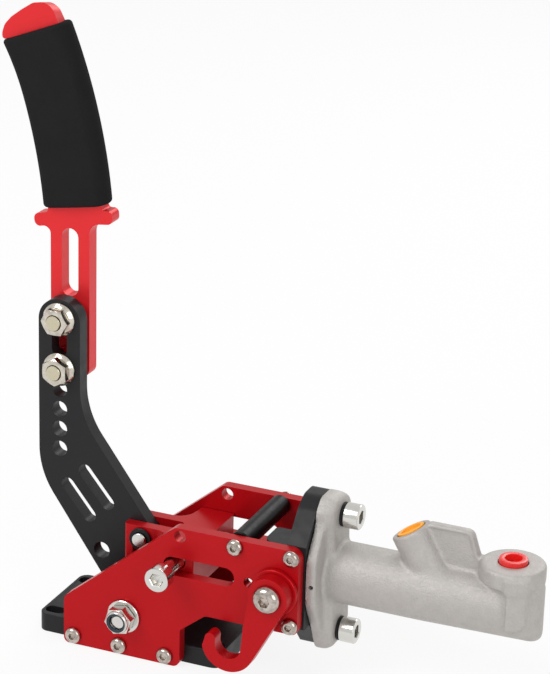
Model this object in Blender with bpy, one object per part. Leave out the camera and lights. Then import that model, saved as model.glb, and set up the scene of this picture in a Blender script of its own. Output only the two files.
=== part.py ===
"""Hydraulic parking brake lever: a hinged lever pulls a slotted yoke, whose push rod drives a master cylinder.

The origin is on the underside of the base plate, below the main pivot. +X points from the lever to the
cylinder, +Z is up, and the near side plate, which carries the hook and the pivot nut, is on the -Y side.
"""

import math

import bmesh
import bpy
from mathutils import Vector

MM = 0.001

# Fits
GAP = 0.3 * MM  # between pieces that rest on each other, and round a bolt in its hole
SIDE_PLAY = 0.2 * MM  # each side of the yoke between the side plates, on top of GAP
CHORD_ERROR = 0.1 * MM  # how far a facet may lie inside its arc
BORE_PLAY = 0.25 * MM  # piston and cups in the cylinder bore

# Lines that the pieces share
PIVOT_HEIGHT = 22.4 * MM
PULL_HEIGHT = 56.0 * MM  # yoke pin, push rod and cylinder bore
LEVER_TURN = 45.0  # degrees from rest to the full pull
HANDLE_X = -51.4 * MM  # line of the holes in the lever arm

# Frame
INNER_WIDTH = 52.0 * MM
PLATE_THICKNESS = 6.0 * MM
PLATE_LEFT = -34.6 * MM
PLATE_RIGHT = 95.0 * MM
PLATE_TOP = 77.4 * MM
SHOULDER_HEIGHT = 26.0 * MM
APEX_X = 27.9 * MM
FOOT_RIGHT = 31.2 * MM
FOOT_HEIGHT = 21.0 * MM
TAIL_LEFT = 45.0 * MM
TAIL_UNDERSIDE = 32.0 * MM
WINDOW_LEFT = 21.5 * MM
WINDOW_RIGHT = 60.5 * MM
WINDOW_HEIGHT = 10.0 * MM
LIGHTENING_HOLES = ((30.6 * MM, 73.0 * MM, 3.2 * MM), (68.3 * MM, 55.5 * MM, 2.6 * MM))
BASE_LEFT = -53.0 * MM
BASE_RIGHT = 52.0 * MM
BASE_THICKNESS = 10.0 * MM
BASE_SLOT_LENGTH = 11.0 * MM
BASE_SLOT_WIDTH = 7.0 * MM
BASE_SLOT_INSET = 7.0 * MM
BASE_SLOT_SPREAD = 38.0 * MM
BASE_SCREWS_X = (-29.0 * MM, -3.0 * MM, 23.0 * MM)
SPACER_X = 60.7 * MM
UPPER_SCREW_DROP = 4.0 * MM  # screws along the top edge, below it
SPACER_RADIUS = 5.5 * MM

# Bracket that carries the cylinder
BRACKET_LEFT = 86.0 * MM
BRACKET_THICKNESS = 10.0 * MM
BRACKET_SCREWS_APART = 36.9 * MM
LUG_LEFT = 73.0 * MM
LUG_WIDTH = 18.0 * MM
LUG_BOTTOM = 45.0 * MM
EAR_RISE = 41.2 * MM  # from the pull line to the end of an ear
EAR_SHOULDER_DROP = 4.8 * MM
UPPER_EAR_HALF_WIDTH = 13.0 * MM
LOWER_EAR_HALF_WIDTH = 4.0 * MM
CYLINDER_BOLT_RISE = 31.5 * MM  # from the pull line

# Screws and bolts
SCREW_RADIUS = 2.5 * MM
SCREW_HEAD_RADIUS = 4.3 * MM
SCREW_HEAD_HEIGHT = 2.5 * MM
SCREW_SOCKET = 3.0 * MM
SCREW_DEPTH = 9.0 * MM  # thread inside the piece behind the side plate
BOLT_RADIUS = 4.0 * MM
CAP_HEAD_RADIUS = 6.5 * MM
CAP_HEAD_HEIGHT = 8.0 * MM
CAP_SOCKET = 6.0 * MM
NUT_FLATS = 13.0 * MM
NUT_HEIGHT = 6.5 * MM
NUT_FLANGE_RADIUS = 8.9 * MM
NUT_FLANGE_HEIGHT = 1.8 * MM
WASHER_RADIUS = 8.9 * MM
WASHER_THICKNESS = 1.5 * MM
NYLON_COLLAR = 2.0 * MM
PIVOT_NUT_HEIGHT = 5.8 * MM  # below its collar
PIVOT_BOLT_PROTRUSION = 0.4 * MM
HANDLE_NUT_HEIGHT = 4.4 * MM  # above its flange
BOLT_PROTRUSION = 0.8 * MM  # of a handle bolt past its nut

# Lever arm
ARM_THICKNESS = 8.0 * MM
ARM_WIDTH = 23.6 * MM
ARM_END_MARGIN = 10.8 * MM  # from the middle of its upper bolt
ARM_BOSS_RADIUS = 11.8 * MM
ARM_BEND_LEFT = 80.3 * MM  # heights where the upright edges would meet the slanted ones
ARM_BEND_RIGHT = 115.0 * MM
ARM_BEND_RADIUS = 44.0 * MM
ARM_NECK_HEIGHT = 46.0 * MM
ADJUSTING_HOLES = 4
ADJUSTING_PITCH = 11.0 * MM
LOWER_BOLT_HEIGHT = 138.5 * MM
UPPER_BOLT_HEIGHT = 165.5 * MM
ARM_SLOT_LENGTH = 16.0 * MM
WEIGHT_SLOT_WIDTH = 7.4 * MM
WEIGHT_SLOTS = (((-36.8, 84.6), (-23.7, 69.0)), ((-46.7, 75.3), (-34.2, 60.2)))  # ends in X and Z, in mm
SPARE_HOLE = (-27.0 * MM, 41.8 * MM, 4.5 * MM)
BUSH_WALL = 1.5 * MM
PIVOT_SPACER_WALL = 2.7 * MM

# Yoke, pin and push rod
PIN_X = -1.5 * MM
PIN_RADIUS = 4.0 * MM
PIN_PLAY = 0.75 * MM  # sideways in the yoke's upright slots: the pin swings, and the yoke slides
CLIP_WALL = 1.8 * MM
CLIP_THICKNESS = 1.2 * MM
PIN_PROTRUSION = 1.6 * MM
YOKE_LEFT = -11.0 * MM
YOKE_BOTTOM = 40.4 * MM
YOKE_TOP = 63.0 * MM
TINE_WALL = 5.7 * MM
FORK_ROOT = 17.0 * MM
CROSSHEAD_LEFT = 16.7 * MM
CROSSHEAD_RIGHT = 35.0 * MM
TINE_FILLET = 9.5 * MM
LOCK_BOLT_X = 26.5 * MM
ROD_END_DEPTH = 12.0 * MM  # push rod inside the yoke

# Hook
HOOK_X = 83.0 * MM
HOOK_HEIGHT = 54.4 * MM
HOOK_THICKNESS = 7.0 * MM
HOOK_EYE_RADIUS = 10.5 * MM
HOOK_SPACER_RADIUS = 12.2 * MM
HOOK_PLAY = 0.5 * MM  # between the hook and the screw heads that it passes on either side
HOOK_SCREW_HEAD_RADIUS = 7.2 * MM
HOOK_SCREW_HEAD_HEIGHT = 4.5 * MM
HOOK_SCREW_SOCKET = 5.0 * MM
HOOK_THROAT = (-20.7, -30.5)  # centre of the throat from the hook's screw, in millimetres
HOOK_THROAT_RADIUS = 7.0 * MM
HOOK_WALL = 7.2 * MM  # below the throat
HOOK_TIP_RISE = 5.4 * MM

# Handle
BLADE_THICKNESS = 8.0 * MM
BLADE_WIDTH = 22.0 * MM
BLADE_END_MARGIN = 7.5 * MM  # below the middle of its lower bolt
HANDLE_SPACER_THICKNESS = 4.0 * MM
BLADE_SLOT_START = 13.5 * MM  # from the middle of the upper bolt to the slot's lower centre
BLADE_SLOT_TOP = 210.6 * MM
BLADE_SLOT_WIDTH = 9.4 * MM
GUARD_WIDTH = 44.6 * MM
GUARD_DEPTH = 6.3 * MM
GUARD_DROP = 6.2 * MM  # from the foam down to the guard's ears
GUARD_SHIFT = -1.4 * MM
GRIP_START_X = 2.3 * MM  # from the line of the arm's holes
GRIP_START_HEIGHT = 225.0 * MM
GRIP_LENGTH = 89.3 * MM
GRIP_BEND_RADIUS = 300.0 * MM
GRIP_START_LEAN = 6.0  # degrees to the left
GRIP_END_TILTS = (9.5, 21.5)  # degrees of the lower and the upper end face
GRIP_WIDTH = 37.4 * MM
GRIP_DEPTH = 16.6 * MM
GRIP_RIM = 1.2 * MM
CORE_WIDTH = 30.4 * MM
HEAD_OUTLINE = ((14.6, 9.6, 5), (4.5, 11.4, 8), (-16.0, 7.2, 7))  # across, above the foam, radius, in mm

# Master cylinder
FLANGE_THICKNESS = 10.3 * MM  # at the bosses of its two bolts
FLANGE_PLATE = 5.5 * MM  # elsewhere
FLANGE_RISE = 40.5 * MM
FLANGE_EAR_HALF_WIDTH = 12.5 * MM
FLANGE_BOSS_RADIUS = 8.6 * MM
FLANGE_RIB_HALF_WIDTH = 5.0 * MM
BARREL_FLARE = 5.0 * MM
BODY_RADIUS = 15.8 * MM
BORE_RADIUS = 8.0 * MM
BORE_PAST_OUTLET = 4.5 * MM
INLET_X = 158.7 * MM
INLET_TILT = 30.0
INLET_REACH = 35.2 * MM
INLET_RADIUS = 10.3 * MM
PLUG_RADIUS = 7.2 * MM
PLUG_DEPTH = 6.0 * MM
PORT_RADIUS = 1.5 * MM
WEB_THICKNESS = 5.0 * MM
WEB_TOP = 92.5 * MM
WEB_RIGHT = 173.4 * MM
OUTLET_X = 194.5 * MM
OUTLET_RADIUS = 16.4 * MM
OUTLET_TOP = 80.0 * MM
OUTLET_HEAD = 9.5 * MM  # height of its round head
OUTLET_NECK_RADIUS = 12.0 * MM
PAD_START = 2.1 * MM  # from the outlet's axis, of the pad under its head on the near side
PAD_END = 11.7 * MM
PAD_BOTTOM = 50.0 * MM
PISTON_START = 103.3 * MM
PISTON_LENGTH = 45.7 * MM
LAND_LENGTH = 4.0 * MM
CUP_WIDTH = 4.5 * MM
PISTON_CORE_RADIUS = 5.0 * MM
PISTON_NOSE_RADIUS = 3.4 * MM
SPRING_WIRE_RADIUS = 0.7 * MM
SPRING_TURNS = 7
SPRING_FACETS = 10

# Worked out from the sizes above
PLATE_INNER = INNER_WIDTH / 2
PLATE_OUTER = PLATE_INNER + PLATE_THICKNESS
INSERT_EDGE = PLATE_INNER - GAP
UPPER_SCREW_HEIGHT = PLATE_TOP - UPPER_SCREW_DROP
BRACKET_SCREW_X = BRACKET_LEFT + BRACKET_THICKNESS / 2
BRACKET_RIGHT = BRACKET_LEFT + BRACKET_THICKNESS
ARM_HALF = ARM_THICKNESS / 2
TINE_INNER = ARM_HALF + GAP
TINE_OUTER = TINE_INNER + TINE_WALL
CROSSHEAD_HALF = PLATE_INNER - GAP - SIDE_PLAY
ARM_TOP = UPPER_BOLT_HEIGHT + ARM_END_MARGIN
BLADE_BOTTOM = LOWER_BOLT_HEIGHT - BLADE_END_MARGIN
BLADE_NEAR = ARM_HALF + HANDLE_SPACER_THICKNESS
BLADE_FAR = BLADE_NEAR + BLADE_THICKNESS
GRIP_Y = (BLADE_NEAR + BLADE_FAR) / 2
HOLE_RADIUS = BOLT_RADIUS + GAP
FLANGE_START = BRACKET_RIGHT + GAP
BORE_END = OUTLET_X + BORE_PAST_OUTLET
FLANGE_END = FLANGE_START + FLANGE_THICKNESS
HOOK_INNER = PLATE_OUTER + GAP + SCREW_HEAD_HEIGHT + HOOK_PLAY
HOOK_OUTER = HOOK_INNER + HOOK_THICKNESS
LOCK_BOLT_SEAT = HOOK_OUTER + HOOK_PLAY

NEAR = (math.radians(90), 0, 0)  # local Z turned to -Y, local Y turned up
FAR = (math.radians(-90), 0, 0)
FORWARD = (0, math.radians(90), 0)  # local Z turned to +X
ACROSS = (math.radians(90), 0, math.radians(90))  # an outline in Y and Z, extruded along X
LEVEL = (0, 0, 0)

FINISHES = {
    "red": ((0.58, 0.012, 0.018, 1), 0.35, 0.85),
    "black": ((0.012, 0.012, 0.013, 1), 0.5, 0.4),
    "steel": ((0.75, 0.76, 0.77, 1), 0.25, 1.0),
    "oxide": ((0.02, 0.02, 0.024, 1), 0.45, 0.8),
    "bronze": ((0.52, 0.31, 0.12, 1), 0.4, 1.0),
    "foam": ((0.012, 0.012, 0.012, 1), 0.95, 0.0),
    "cast": ((0.5, 0.49, 0.47, 1), 0.5, 0.9),
    "seal": ((0.015, 0.015, 0.015, 1), 0.7, 0.0),
    "nylon": ((0.03, 0.08, 0.16, 1), 0.5, 0.0),
    "orange": ((0.85, 0.25, 0.01, 1), 0.45, 0.0),
    "red_plastic": ((0.7, 0.015, 0.02, 1), 0.4, 0.0),
}


# Outlines

def arc_count(radius, turn):
    """How many straight pieces an arc takes."""
    step = 2 * math.acos(max(0.0, 1 - CHORD_ERROR / radius))
    return max(2, math.ceil(abs(turn) / step))


def arc(centre, radius, start, end):
    """Points of an arc from one angle to the other, both in radians, with its ends."""
    count = arc_count(radius, end - start)
    angles = [start + (end - start) * step / count for step in range(count + 1)]
    return [(centre[0] + radius * math.cos(a), centre[1] + radius * math.sin(a)) for a in angles]


def circle(centre, radius):
    return arc(centre, radius, 0, 2 * math.pi)[:-1]


def capsule(start, end, radius):
    """Outline of a slot with round ends, whose centres are start and end."""
    way = math.atan2(end[1] - start[1], end[0] - start[0])
    quarter = math.pi / 2
    return arc(end, radius, way - quarter, way + quarter) + arc(start, radius, way + quarter, way + 3 * quarter)


def rounded(corners):
    """Outline through corners (x, y, radius), each turned into an arc that its edges have room for."""
    points = []
    for index, (x, y, radius) in enumerate(corners):
        here = Vector((x, y))
        back = Vector(corners[index - 1][:2]) - here
        ahead = Vector(corners[(index + 1) % len(corners)][:2]) - here
        half = back.angle(ahead) / 2
        reach = min(radius / math.tan(half), back.length / 2, ahead.length / 2)
        if reach < CHORD_ERROR:
            points.append((x, y))
            continue
        back.normalize()
        ahead.normalize()
        bend = reach * math.tan(half)
        centre = here + (back + ahead).normalized() * (bend / math.sin(half))
        first = here + back * reach - centre
        last = here + ahead * reach - centre
        start = math.atan2(first.y, first.x)
        turn = (math.atan2(last.y, last.x) - start + math.pi) % (2 * math.pi) - math.pi
        points += arc(centre, bend, start, start + turn)
    apart = [p for p, q in zip(points, points[1:] + points[:1]) if math.dist(p, q) > 1e-6]
    return apart


def mirrored(half):
    """Both halves of an outline from its +X half, whose corners run from top to bottom."""
    return half + [(-x, y, radius) for x, y, radius in reversed(half)]


# Solids

def finish_mesh(name, bm):
    bmesh.ops.recalc_face_normals(bm, faces=bm.faces[:])
    mesh = bpy.data.meshes.new(name)
    bm.to_mesh(mesh)
    bm.free()
    mesh.shade_smooth()
    mesh.set_sharp_from_angle(angle=math.radians(35))
    return mesh


def plate(name, outline, holes, low, high):
    """A flat plate with holes right through it: the outline filled, then extruded from low to high."""
    bm = bmesh.new()
    edges = []
    for loop in [outline, *holes]:
        corners = [bm.verts.new((x, y, low)) for x, y in loop]
        edges += [bm.edges.new((corners[i - 1], corners[i])) for i in range(len(corners))]
    bmesh.ops.triangle_fill(bm, use_beauty=True, use_dissolve=False, edges=edges)
    raised = bmesh.ops.extrude_face_region(bm, geom=bm.faces[:])["geom"]
    raised = [piece for piece in raised if isinstance(piece, bmesh.types.BMVert)]
    bmesh.ops.translate(bm, verts=raised, vec=(0, 0, high - low))
    return finish_mesh(name, bm)


def ring(section, facets):
    """Points of one cross section: a circle of that radius, or a hexagon given as ("hex", flats)."""
    points = []
    for step in range(facets):
        angle = 2 * math.pi * step / facets
        radius = section
        if isinstance(section, tuple):
            from_flat = (angle % (math.pi / 3)) - math.pi / 6
            radius = section[1] / 2 / math.cos(from_flat)
        points.append((radius * math.cos(angle), radius * math.sin(angle)))
    return points


def oval_ring(half_x, half_y, facets):
    """A flat oval: round ends of the smaller size, joined by straight sides."""
    straight = half_x - half_y
    return [(x + math.copysign(straight, x) * min(1, abs(x) / half_y * 3), y) for x, y in ring(half_y, facets)]


def rectangle_ring(half_x, half_y, facets):
    """As many points as a round ring has, on a rectangle, with four of them on its corners."""
    points = []
    for x, y in ring(1.0, facets):
        stretch = min(half_x / max(abs(x), 1e-9), half_y / max(abs(y), 1e-9))
        points.append((x * stretch, y * stretch))
    first = max(1, round(math.atan2(half_y, half_x) / (2 * math.pi) * facets))
    half = facets // 2
    corners = {first: (1, 1), half - first: (-1, 1), half + first: (-1, -1), facets - first: (1, -1)}
    for index, (side_x, side_y) in corners.items():
        points[index] = (side_x * half_x, side_y * half_y)
    return points


def skin_rings(name, rings, closed):
    """A solid through rings of as many points each: capped at both ends, or closed on itself."""
    bm = bmesh.new()
    loops = [[bm.verts.new(point) for point in points] for points in rings]
    count = len(loops[0])
    for index in range(len(loops) if closed else len(loops) - 1):
        low = loops[index]
        high = loops[(index + 1) % len(loops)]
        for i in range(count):
            bm.faces.new((low[i - 1], low[i], high[i], high[i - 1]))
    if not closed:
        bm.faces.new(loops[0])
        bm.faces.new(loops[-1])
    return finish_mesh(name, bm)


def turned(name, sections, facets=18, hollow=False):
    """A solid along local Z through sections (height, radius or hexagon). A hollow one closes on itself."""
    rings = [[(x, y, height) for x, y in ring(section, facets)] for height, section in sections]
    return skin_rings(name, rings, closed=hollow)


def tube(name, low, high, inner, outer, facets=18):
    return turned(name, [(low, inner), (low, outer), (high, outer), (high, inner)], facets, hollow=True)


def material(name, finish):
    colour, roughness, metallic = FINISHES[finish]
    made = bpy.data.materials.new(name)
    made.use_nodes = True
    shader = made.node_tree.nodes["Principled BSDF"]
    shader.inputs["Base Color"].default_value = colour
    shader.inputs["Roughness"].default_value = roughness
    shader.inputs["Metallic"].default_value = metallic
    made.diffuse_color = colour
    return made


def put(mesh, at, turn, parent=None):
    """An object of this mesh at a place in the world, carried by a parent empty if it moves."""
    made = bpy.data.objects.new(mesh.name, mesh)
    bpy.context.scene.collection.objects.link(made)
    made.rotation_euler = turn
    made.location = at
    if parent:
        made.parent = parent
        made.location = Vector(at) - parent.location
    return made


def piece(mesh, finish, at=(0, 0, 0), turn=LEVEL, parent=None):
    made = put(mesh, at, turn, parent)
    made.data.materials.clear()
    made.data.materials.append(material(made.name, finish))
    return made


def joint_axis(name, at):
    made = bpy.data.objects.new(name, None)
    made.location = at
    made.empty_display_size = 10 * MM
    bpy.context.scene.collection.objects.link(made)
    return made


def combine(target, tool_mesh, at, turn, operation="DIFFERENCE"):
    """Cuts a tool out of the target, or adds it, by a Boolean that stays on the target."""
    tool = put(tool_mesh, at, turn, target.parent)
    tool.hide_render = True
    tool.display_type = "WIRE"
    boolean = target.modifiers.new(tool.name, "BOOLEAN")
    boolean.operation = operation
    boolean.solver = "EXACT"
    boolean.object = tool


# Fasteners

def button_screw_mesh():
    """Domed head with a hexagon socket, its seat at height 0 and the shank below."""
    length = PLATE_THICKNESS + SCREW_DEPTH
    rim = SCREW_HEAD_HEIGHT * 0.3
    sections = [
        (-length, SCREW_RADIUS),
        (0, SCREW_RADIUS),
        (0, SCREW_HEAD_RADIUS),
        (rim, SCREW_HEAD_RADIUS),
        (SCREW_HEAD_HEIGHT * 0.75, SCREW_HEAD_RADIUS * 0.8),
        (SCREW_HEAD_HEIGHT, SCREW_HEAD_RADIUS * 0.45),
        (SCREW_HEAD_HEIGHT, ("hex", SCREW_SOCKET)),
        (rim, ("hex", SCREW_SOCKET)),
    ]
    return turned("button_screw", sections, facets=12)


def cap_screw_mesh(name, length):
    """Cylinder head with a hexagon socket, its seat at height 0."""
    edge = CAP_HEAD_HEIGHT * 0.06
    sections = [
        (-length, BOLT_RADIUS * 0.85),
        (-length + BOLT_RADIUS * 0.15, BOLT_RADIUS),
        (0, BOLT_RADIUS),
        (0, CAP_HEAD_RADIUS),
        (CAP_HEAD_HEIGHT - edge, CAP_HEAD_RADIUS),
        (CAP_HEAD_HEIGHT, CAP_HEAD_RADIUS - edge),
        (CAP_HEAD_HEIGHT, ("hex", CAP_SOCKET)),
        (CAP_HEAD_HEIGHT / 2, ("hex", CAP_SOCKET)),
    ]
    return turned(name, sections)


def hex_bolt_mesh(name, length, flange):
    """Hexagon head, with or without a flange, its seat at height 0."""
    flange_height = NUT_FLANGE_HEIGHT if flange else 0
    sections = [
        (-length, BOLT_RADIUS * 0.85),
        (-length + BOLT_RADIUS * 0.15, BOLT_RADIUS),
        (0, BOLT_RADIUS),
    ]
    if flange:
        sections += [(0, NUT_FLANGE_RADIUS), (flange_height / 2, NUT_FLANGE_RADIUS)]
    sections += [
        (flange_height, ("hex", NUT_FLATS)),
        (flange_height + NUT_HEIGHT * 0.75, ("hex", NUT_FLATS)),
        (flange_height + NUT_HEIGHT * 0.85, NUT_FLATS * 0.46),
    ]
    return turned(name, sections)


def nut_mesh(name, height, flange, insert):
    """Hexagon nut with its seat at height 0: with a flange, with a collar for a nylon ring, or plain."""
    base = [(0, NUT_FLANGE_RADIUS), (NUT_FLANGE_HEIGHT / 2, NUT_FLANGE_RADIUS)] if flange else []
    low = NUT_FLANGE_HEIGHT if flange else 0
    high = low + height
    sections = [(0, HOLE_RADIUS), *base]
    if not flange:
        sections.append((0, NUT_FLATS * 0.47))
    sections += [
        (low + height * 0.1, ("hex", NUT_FLATS)),
        (high - height * 0.1, ("hex", NUT_FLATS)),
        (high, NUT_FLATS * 0.47),
    ]
    if insert:
        seat = HOLE_RADIUS + insert
        sections += [
            (high + NYLON_COLLAR, NUT_FLATS * 0.43),
            (high + NYLON_COLLAR, seat),
            (high, seat),
        ]
    sections.append((high, HOLE_RADIUS))
    return turned(name, sections, hollow=True)


def fasten_side_plates():
    """Two rows of the same button screw, one through each side plate, all sharing one shape."""
    base_height = BASE_THICKNESS / 2
    places = [(f"base_screw_{n + 1}", x, base_height) for n, x in enumerate(BASE_SCREWS_X)]
    places.append(("spacer_screw", SPACER_X, UPPER_SCREW_HEIGHT))
    places.append(("bracket_screw_upper", BRACKET_SCREW_X, UPPER_SCREW_HEIGHT))
    places.append(("bracket_screw_lower", BRACKET_SCREW_X, UPPER_SCREW_HEIGHT - BRACKET_SCREWS_APART))
    shape = button_screw_mesh()
    for side, seat, turn in (("near", -PLATE_OUTER - GAP, NEAR), ("far", PLATE_OUTER + GAP, FAR)):
        for name, x, height in places:
            screw = put(shape, (x, seat, height), turn)
            screw.name = f"{name}_{side}"
            screw.data.materials.clear()
    shape.materials.append(material("button_screw", "steel"))


# Frame

def side_plate_outline():
    return rounded([
        (PLATE_LEFT, 0, 3 * MM),
        (FOOT_RIGHT, 0, 4 * MM),
        (FOOT_RIGHT, FOOT_HEIGHT, 2 * MM),
        (TAIL_LEFT, TAIL_UNDERSIDE, 4 * MM),
        (PLATE_RIGHT, TAIL_UNDERSIDE, 3 * MM),
        (PLATE_RIGHT, PLATE_TOP, 5.5 * MM),
        (APEX_X, PLATE_TOP, 4.5 * MM),
        (PLATE_LEFT, SHOULDER_HEIGHT, 6 * MM),
    ])


def side_plate(side):
    screw_hole = SCREW_RADIUS + GAP
    end = WINDOW_HEIGHT / 2
    holes = [circle((x, BASE_THICKNESS / 2), screw_hole) for x in BASE_SCREWS_X]
    holes += [circle((x, height), radius) for x, height, radius in LIGHTENING_HOLES]
    holes.append(circle((SPACER_X, UPPER_SCREW_HEIGHT), screw_hole))
    holes.append(circle((BRACKET_SCREW_X, UPPER_SCREW_HEIGHT), screw_hole))
    holes.append(circle((BRACKET_SCREW_X, UPPER_SCREW_HEIGHT - BRACKET_SCREWS_APART), screw_hole))
    holes.append(circle((0, PIVOT_HEIGHT), HOLE_RADIUS))
    holes.append(capsule((WINDOW_LEFT + end, PULL_HEIGHT), (WINDOW_RIGHT - end, PULL_HEIGHT), end))
    if side == "near":
        holes.append(circle((HOOK_X, HOOK_HEIGHT), HOLE_RADIUS))
    middle = (PLATE_INNER + PLATE_OUTER) / 2 * (-1 if side == "near" else 1)
    shape = plate(f"side_plate_{side}", side_plate_outline(), holes, -PLATE_THICKNESS / 2, PLATE_THICKNESS / 2)
    piece(shape, "red", at=(0, middle, 0), turn=NEAR)


def base_plate():
    half = INSERT_EDGE
    outline = rounded([
        (BASE_LEFT, -half, 5 * MM),
        (BASE_RIGHT, -half, 7 * MM),
        (BASE_RIGHT, half, 7 * MM),
        (BASE_LEFT, half, 5 * MM),
    ])
    radius = BASE_SLOT_WIDTH / 2
    reach = BASE_SLOT_LENGTH / 2 - radius
    slots = []
    for x in (BASE_LEFT + BASE_SLOT_INSET, BASE_RIGHT - BASE_SLOT_INSET):
        for y in (-BASE_SLOT_SPREAD / 2, BASE_SLOT_SPREAD / 2):
            slots.append(capsule((x - reach, y), (x + reach, y), radius))
    base = piece(plate("base_plate", outline, slots, 0, BASE_THICKNESS), "black")
    thread = turned("base_thread", [(-SCREW_DEPTH - GAP, SCREW_RADIUS + GAP), (GAP * 4, SCREW_RADIUS + GAP)], 12)
    for x in BASE_SCREWS_X:
        for side, turn in ((-1, NEAR), (1, FAR)):
            combine(base, thread, (x, side * half, BASE_THICKNESS / 2), turn)


def cross_spacer():
    """Round bar between the side plates, drilled at both ends for its screws."""
    hole = SCREW_RADIUS + GAP
    deep = SCREW_DEPTH + GAP
    sections = [
        (-INSERT_EDGE + deep, hole),
        (-INSERT_EDGE, hole),
        (-INSERT_EDGE, SPACER_RADIUS),
        (INSERT_EDGE, SPACER_RADIUS),
        (INSERT_EDGE, hole),
        (INSERT_EDGE - deep, hole),
    ]
    piece(turned("cross_spacer", sections), "black", at=(SPACER_X, 0, UPPER_SCREW_HEIGHT), turn=NEAR)


def cylinder_bracket():
    """Plate across the tail of the frame, with an ear above and below it and a lug for the hook's screw."""
    rise = EAR_RISE
    waist = TAIL_UNDERSIDE - PULL_HEIGHT
    half = [
        (UPPER_EAR_HALF_WIDTH * 0.42, rise, 9 * MM),
        (UPPER_EAR_HALF_WIDTH, rise - EAR_SHOULDER_DROP, 9 * MM),
        (INSERT_EDGE, PLATE_TOP - PULL_HEIGHT, 1 * MM),
        (INSERT_EDGE, waist, 1 * MM),
        (INSERT_EDGE * 0.71, waist, 2 * MM),
        (LOWER_EAR_HALF_WIDTH, -rise, 4 * MM),
    ]
    holes = [
        circle((0, 0), BORE_RADIUS + 1.5 * MM),
        circle((0, CYLINDER_BOLT_RISE), HOLE_RADIUS),
        circle((0, -CYLINDER_BOLT_RISE), HOLE_RADIUS),
    ]
    shape = plate("cylinder_bracket", rounded(mirrored(half)), holes, 0, BRACKET_THICKNESS)
    bracket = piece(shape, "black", at=(BRACKET_LEFT, 0, PULL_HEIGHT), turn=ACROSS)
    overlap = 1 * MM
    lug = plate("bracket_lug", rounded([
        (LUG_LEFT, -INSERT_EDGE, 6 * MM),
        (BRACKET_LEFT + overlap, -INSERT_EDGE, 0),
        (BRACKET_LEFT + overlap, -INSERT_EDGE + LUG_WIDTH, 0),
        (LUG_LEFT, -INSERT_EDGE + LUG_WIDTH, 2 * MM),
    ]), [], LUG_BOTTOM, PLATE_TOP - GAP)
    combine(bracket, lug, (0, 0, 0), LEVEL, "UNION")
    thread = turned("bracket_thread", [(-SCREW_DEPTH - GAP, SCREW_RADIUS + GAP), (GAP * 4, SCREW_RADIUS + GAP)], 12)
    for drop in (0, BRACKET_SCREWS_APART):
        for side, turn in ((-1, NEAR), (1, FAR)):
            combine(bracket, thread, (BRACKET_SCREW_X, side * INSERT_EDGE, UPPER_SCREW_HEIGHT - drop), turn)
    hook_thread = turned("hook_thread", [(-LUG_WIDTH * 0.85, HOLE_RADIUS), (GAP * 4, HOLE_RADIUS)], 16)
    combine(bracket, hook_thread, (HOOK_X, -INSERT_EDGE, HOOK_HEIGHT), NEAR)


def main_pivot():
    """Bolt through both side plates, with the tubes that keep the lever arm on the middle line."""
    seat = PLATE_OUTER + GAP
    for side, turn in ((-1, NEAR), (1, FAR)):
        name = "near" if side < 0 else "far"
        washer = tube(f"pivot_washer_{name}", 0, WASHER_THICKNESS, HOLE_RADIUS, WASHER_RADIUS)
        piece(washer, "steel", at=(0, side * seat, PIVOT_HEIGHT), turn=turn)
        spacer = tube(f"pivot_spacer_{name}", ARM_HALF + 2 * GAP, INSERT_EDGE, HOLE_RADIUS, HOLE_RADIUS + PIVOT_SPACER_WALL)
        piece(spacer, "steel", at=(0, 0, PIVOT_HEIGHT), turn=turn)
    over_washer = seat + WASHER_THICKNESS + GAP
    nut_end = over_washer + PIVOT_NUT_HEIGHT + NYLON_COLLAR
    bolt = hex_bolt_mesh("pivot_bolt", over_washer + nut_end + PIVOT_BOLT_PROTRUSION, flange=False)
    piece(bolt, "steel", at=(0, over_washer, PIVOT_HEIGHT), turn=FAR)
    insert = 1.1 * MM
    nut = nut_mesh("pivot_nut", PIVOT_NUT_HEIGHT, flange=False, insert=insert)
    piece(nut, "steel", at=(0, -over_washer, PIVOT_HEIGHT), turn=NEAR)
    ring_low = PIVOT_NUT_HEIGHT + GAP
    ring_high = PIVOT_NUT_HEIGHT + NYLON_COLLAR - GAP
    nylon = tube("nylon_ring", ring_low, ring_high, HOLE_RADIUS - GAP / 2, HOLE_RADIUS + insert - GAP / 2)
    piece(nylon, "nylon", at=(0, -over_washer, PIVOT_HEIGHT), turn=NEAR)


# Lever

def arm_outline():
    """Straight head, then a bend down to the pivot boss. Its slanted edges keep their real slopes."""
    left = HANDLE_X - ARM_WIDTH / 2
    right = HANDLE_X + ARM_WIDTH / 2
    bottom = PIVOT_HEIGHT - ARM_BOSS_RADIUS
    return rounded([
        (left, ARM_TOP, ARM_WIDTH / 2),
        (left, ARM_BEND_LEFT, ARM_BEND_RADIUS),
        (-ARM_BOSS_RADIUS - 2.4 * MM, bottom, 8 * MM),
        (ARM_BOSS_RADIUS, bottom, ARM_BOSS_RADIUS - 0.4 * MM),
        (ARM_BOSS_RADIUS, ARM_NECK_HEIGHT, 6 * MM),
        (right, ARM_BEND_RIGHT, ARM_BEND_RADIUS),
        (right, ARM_TOP, ARM_WIDTH / 2),
    ])


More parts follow.
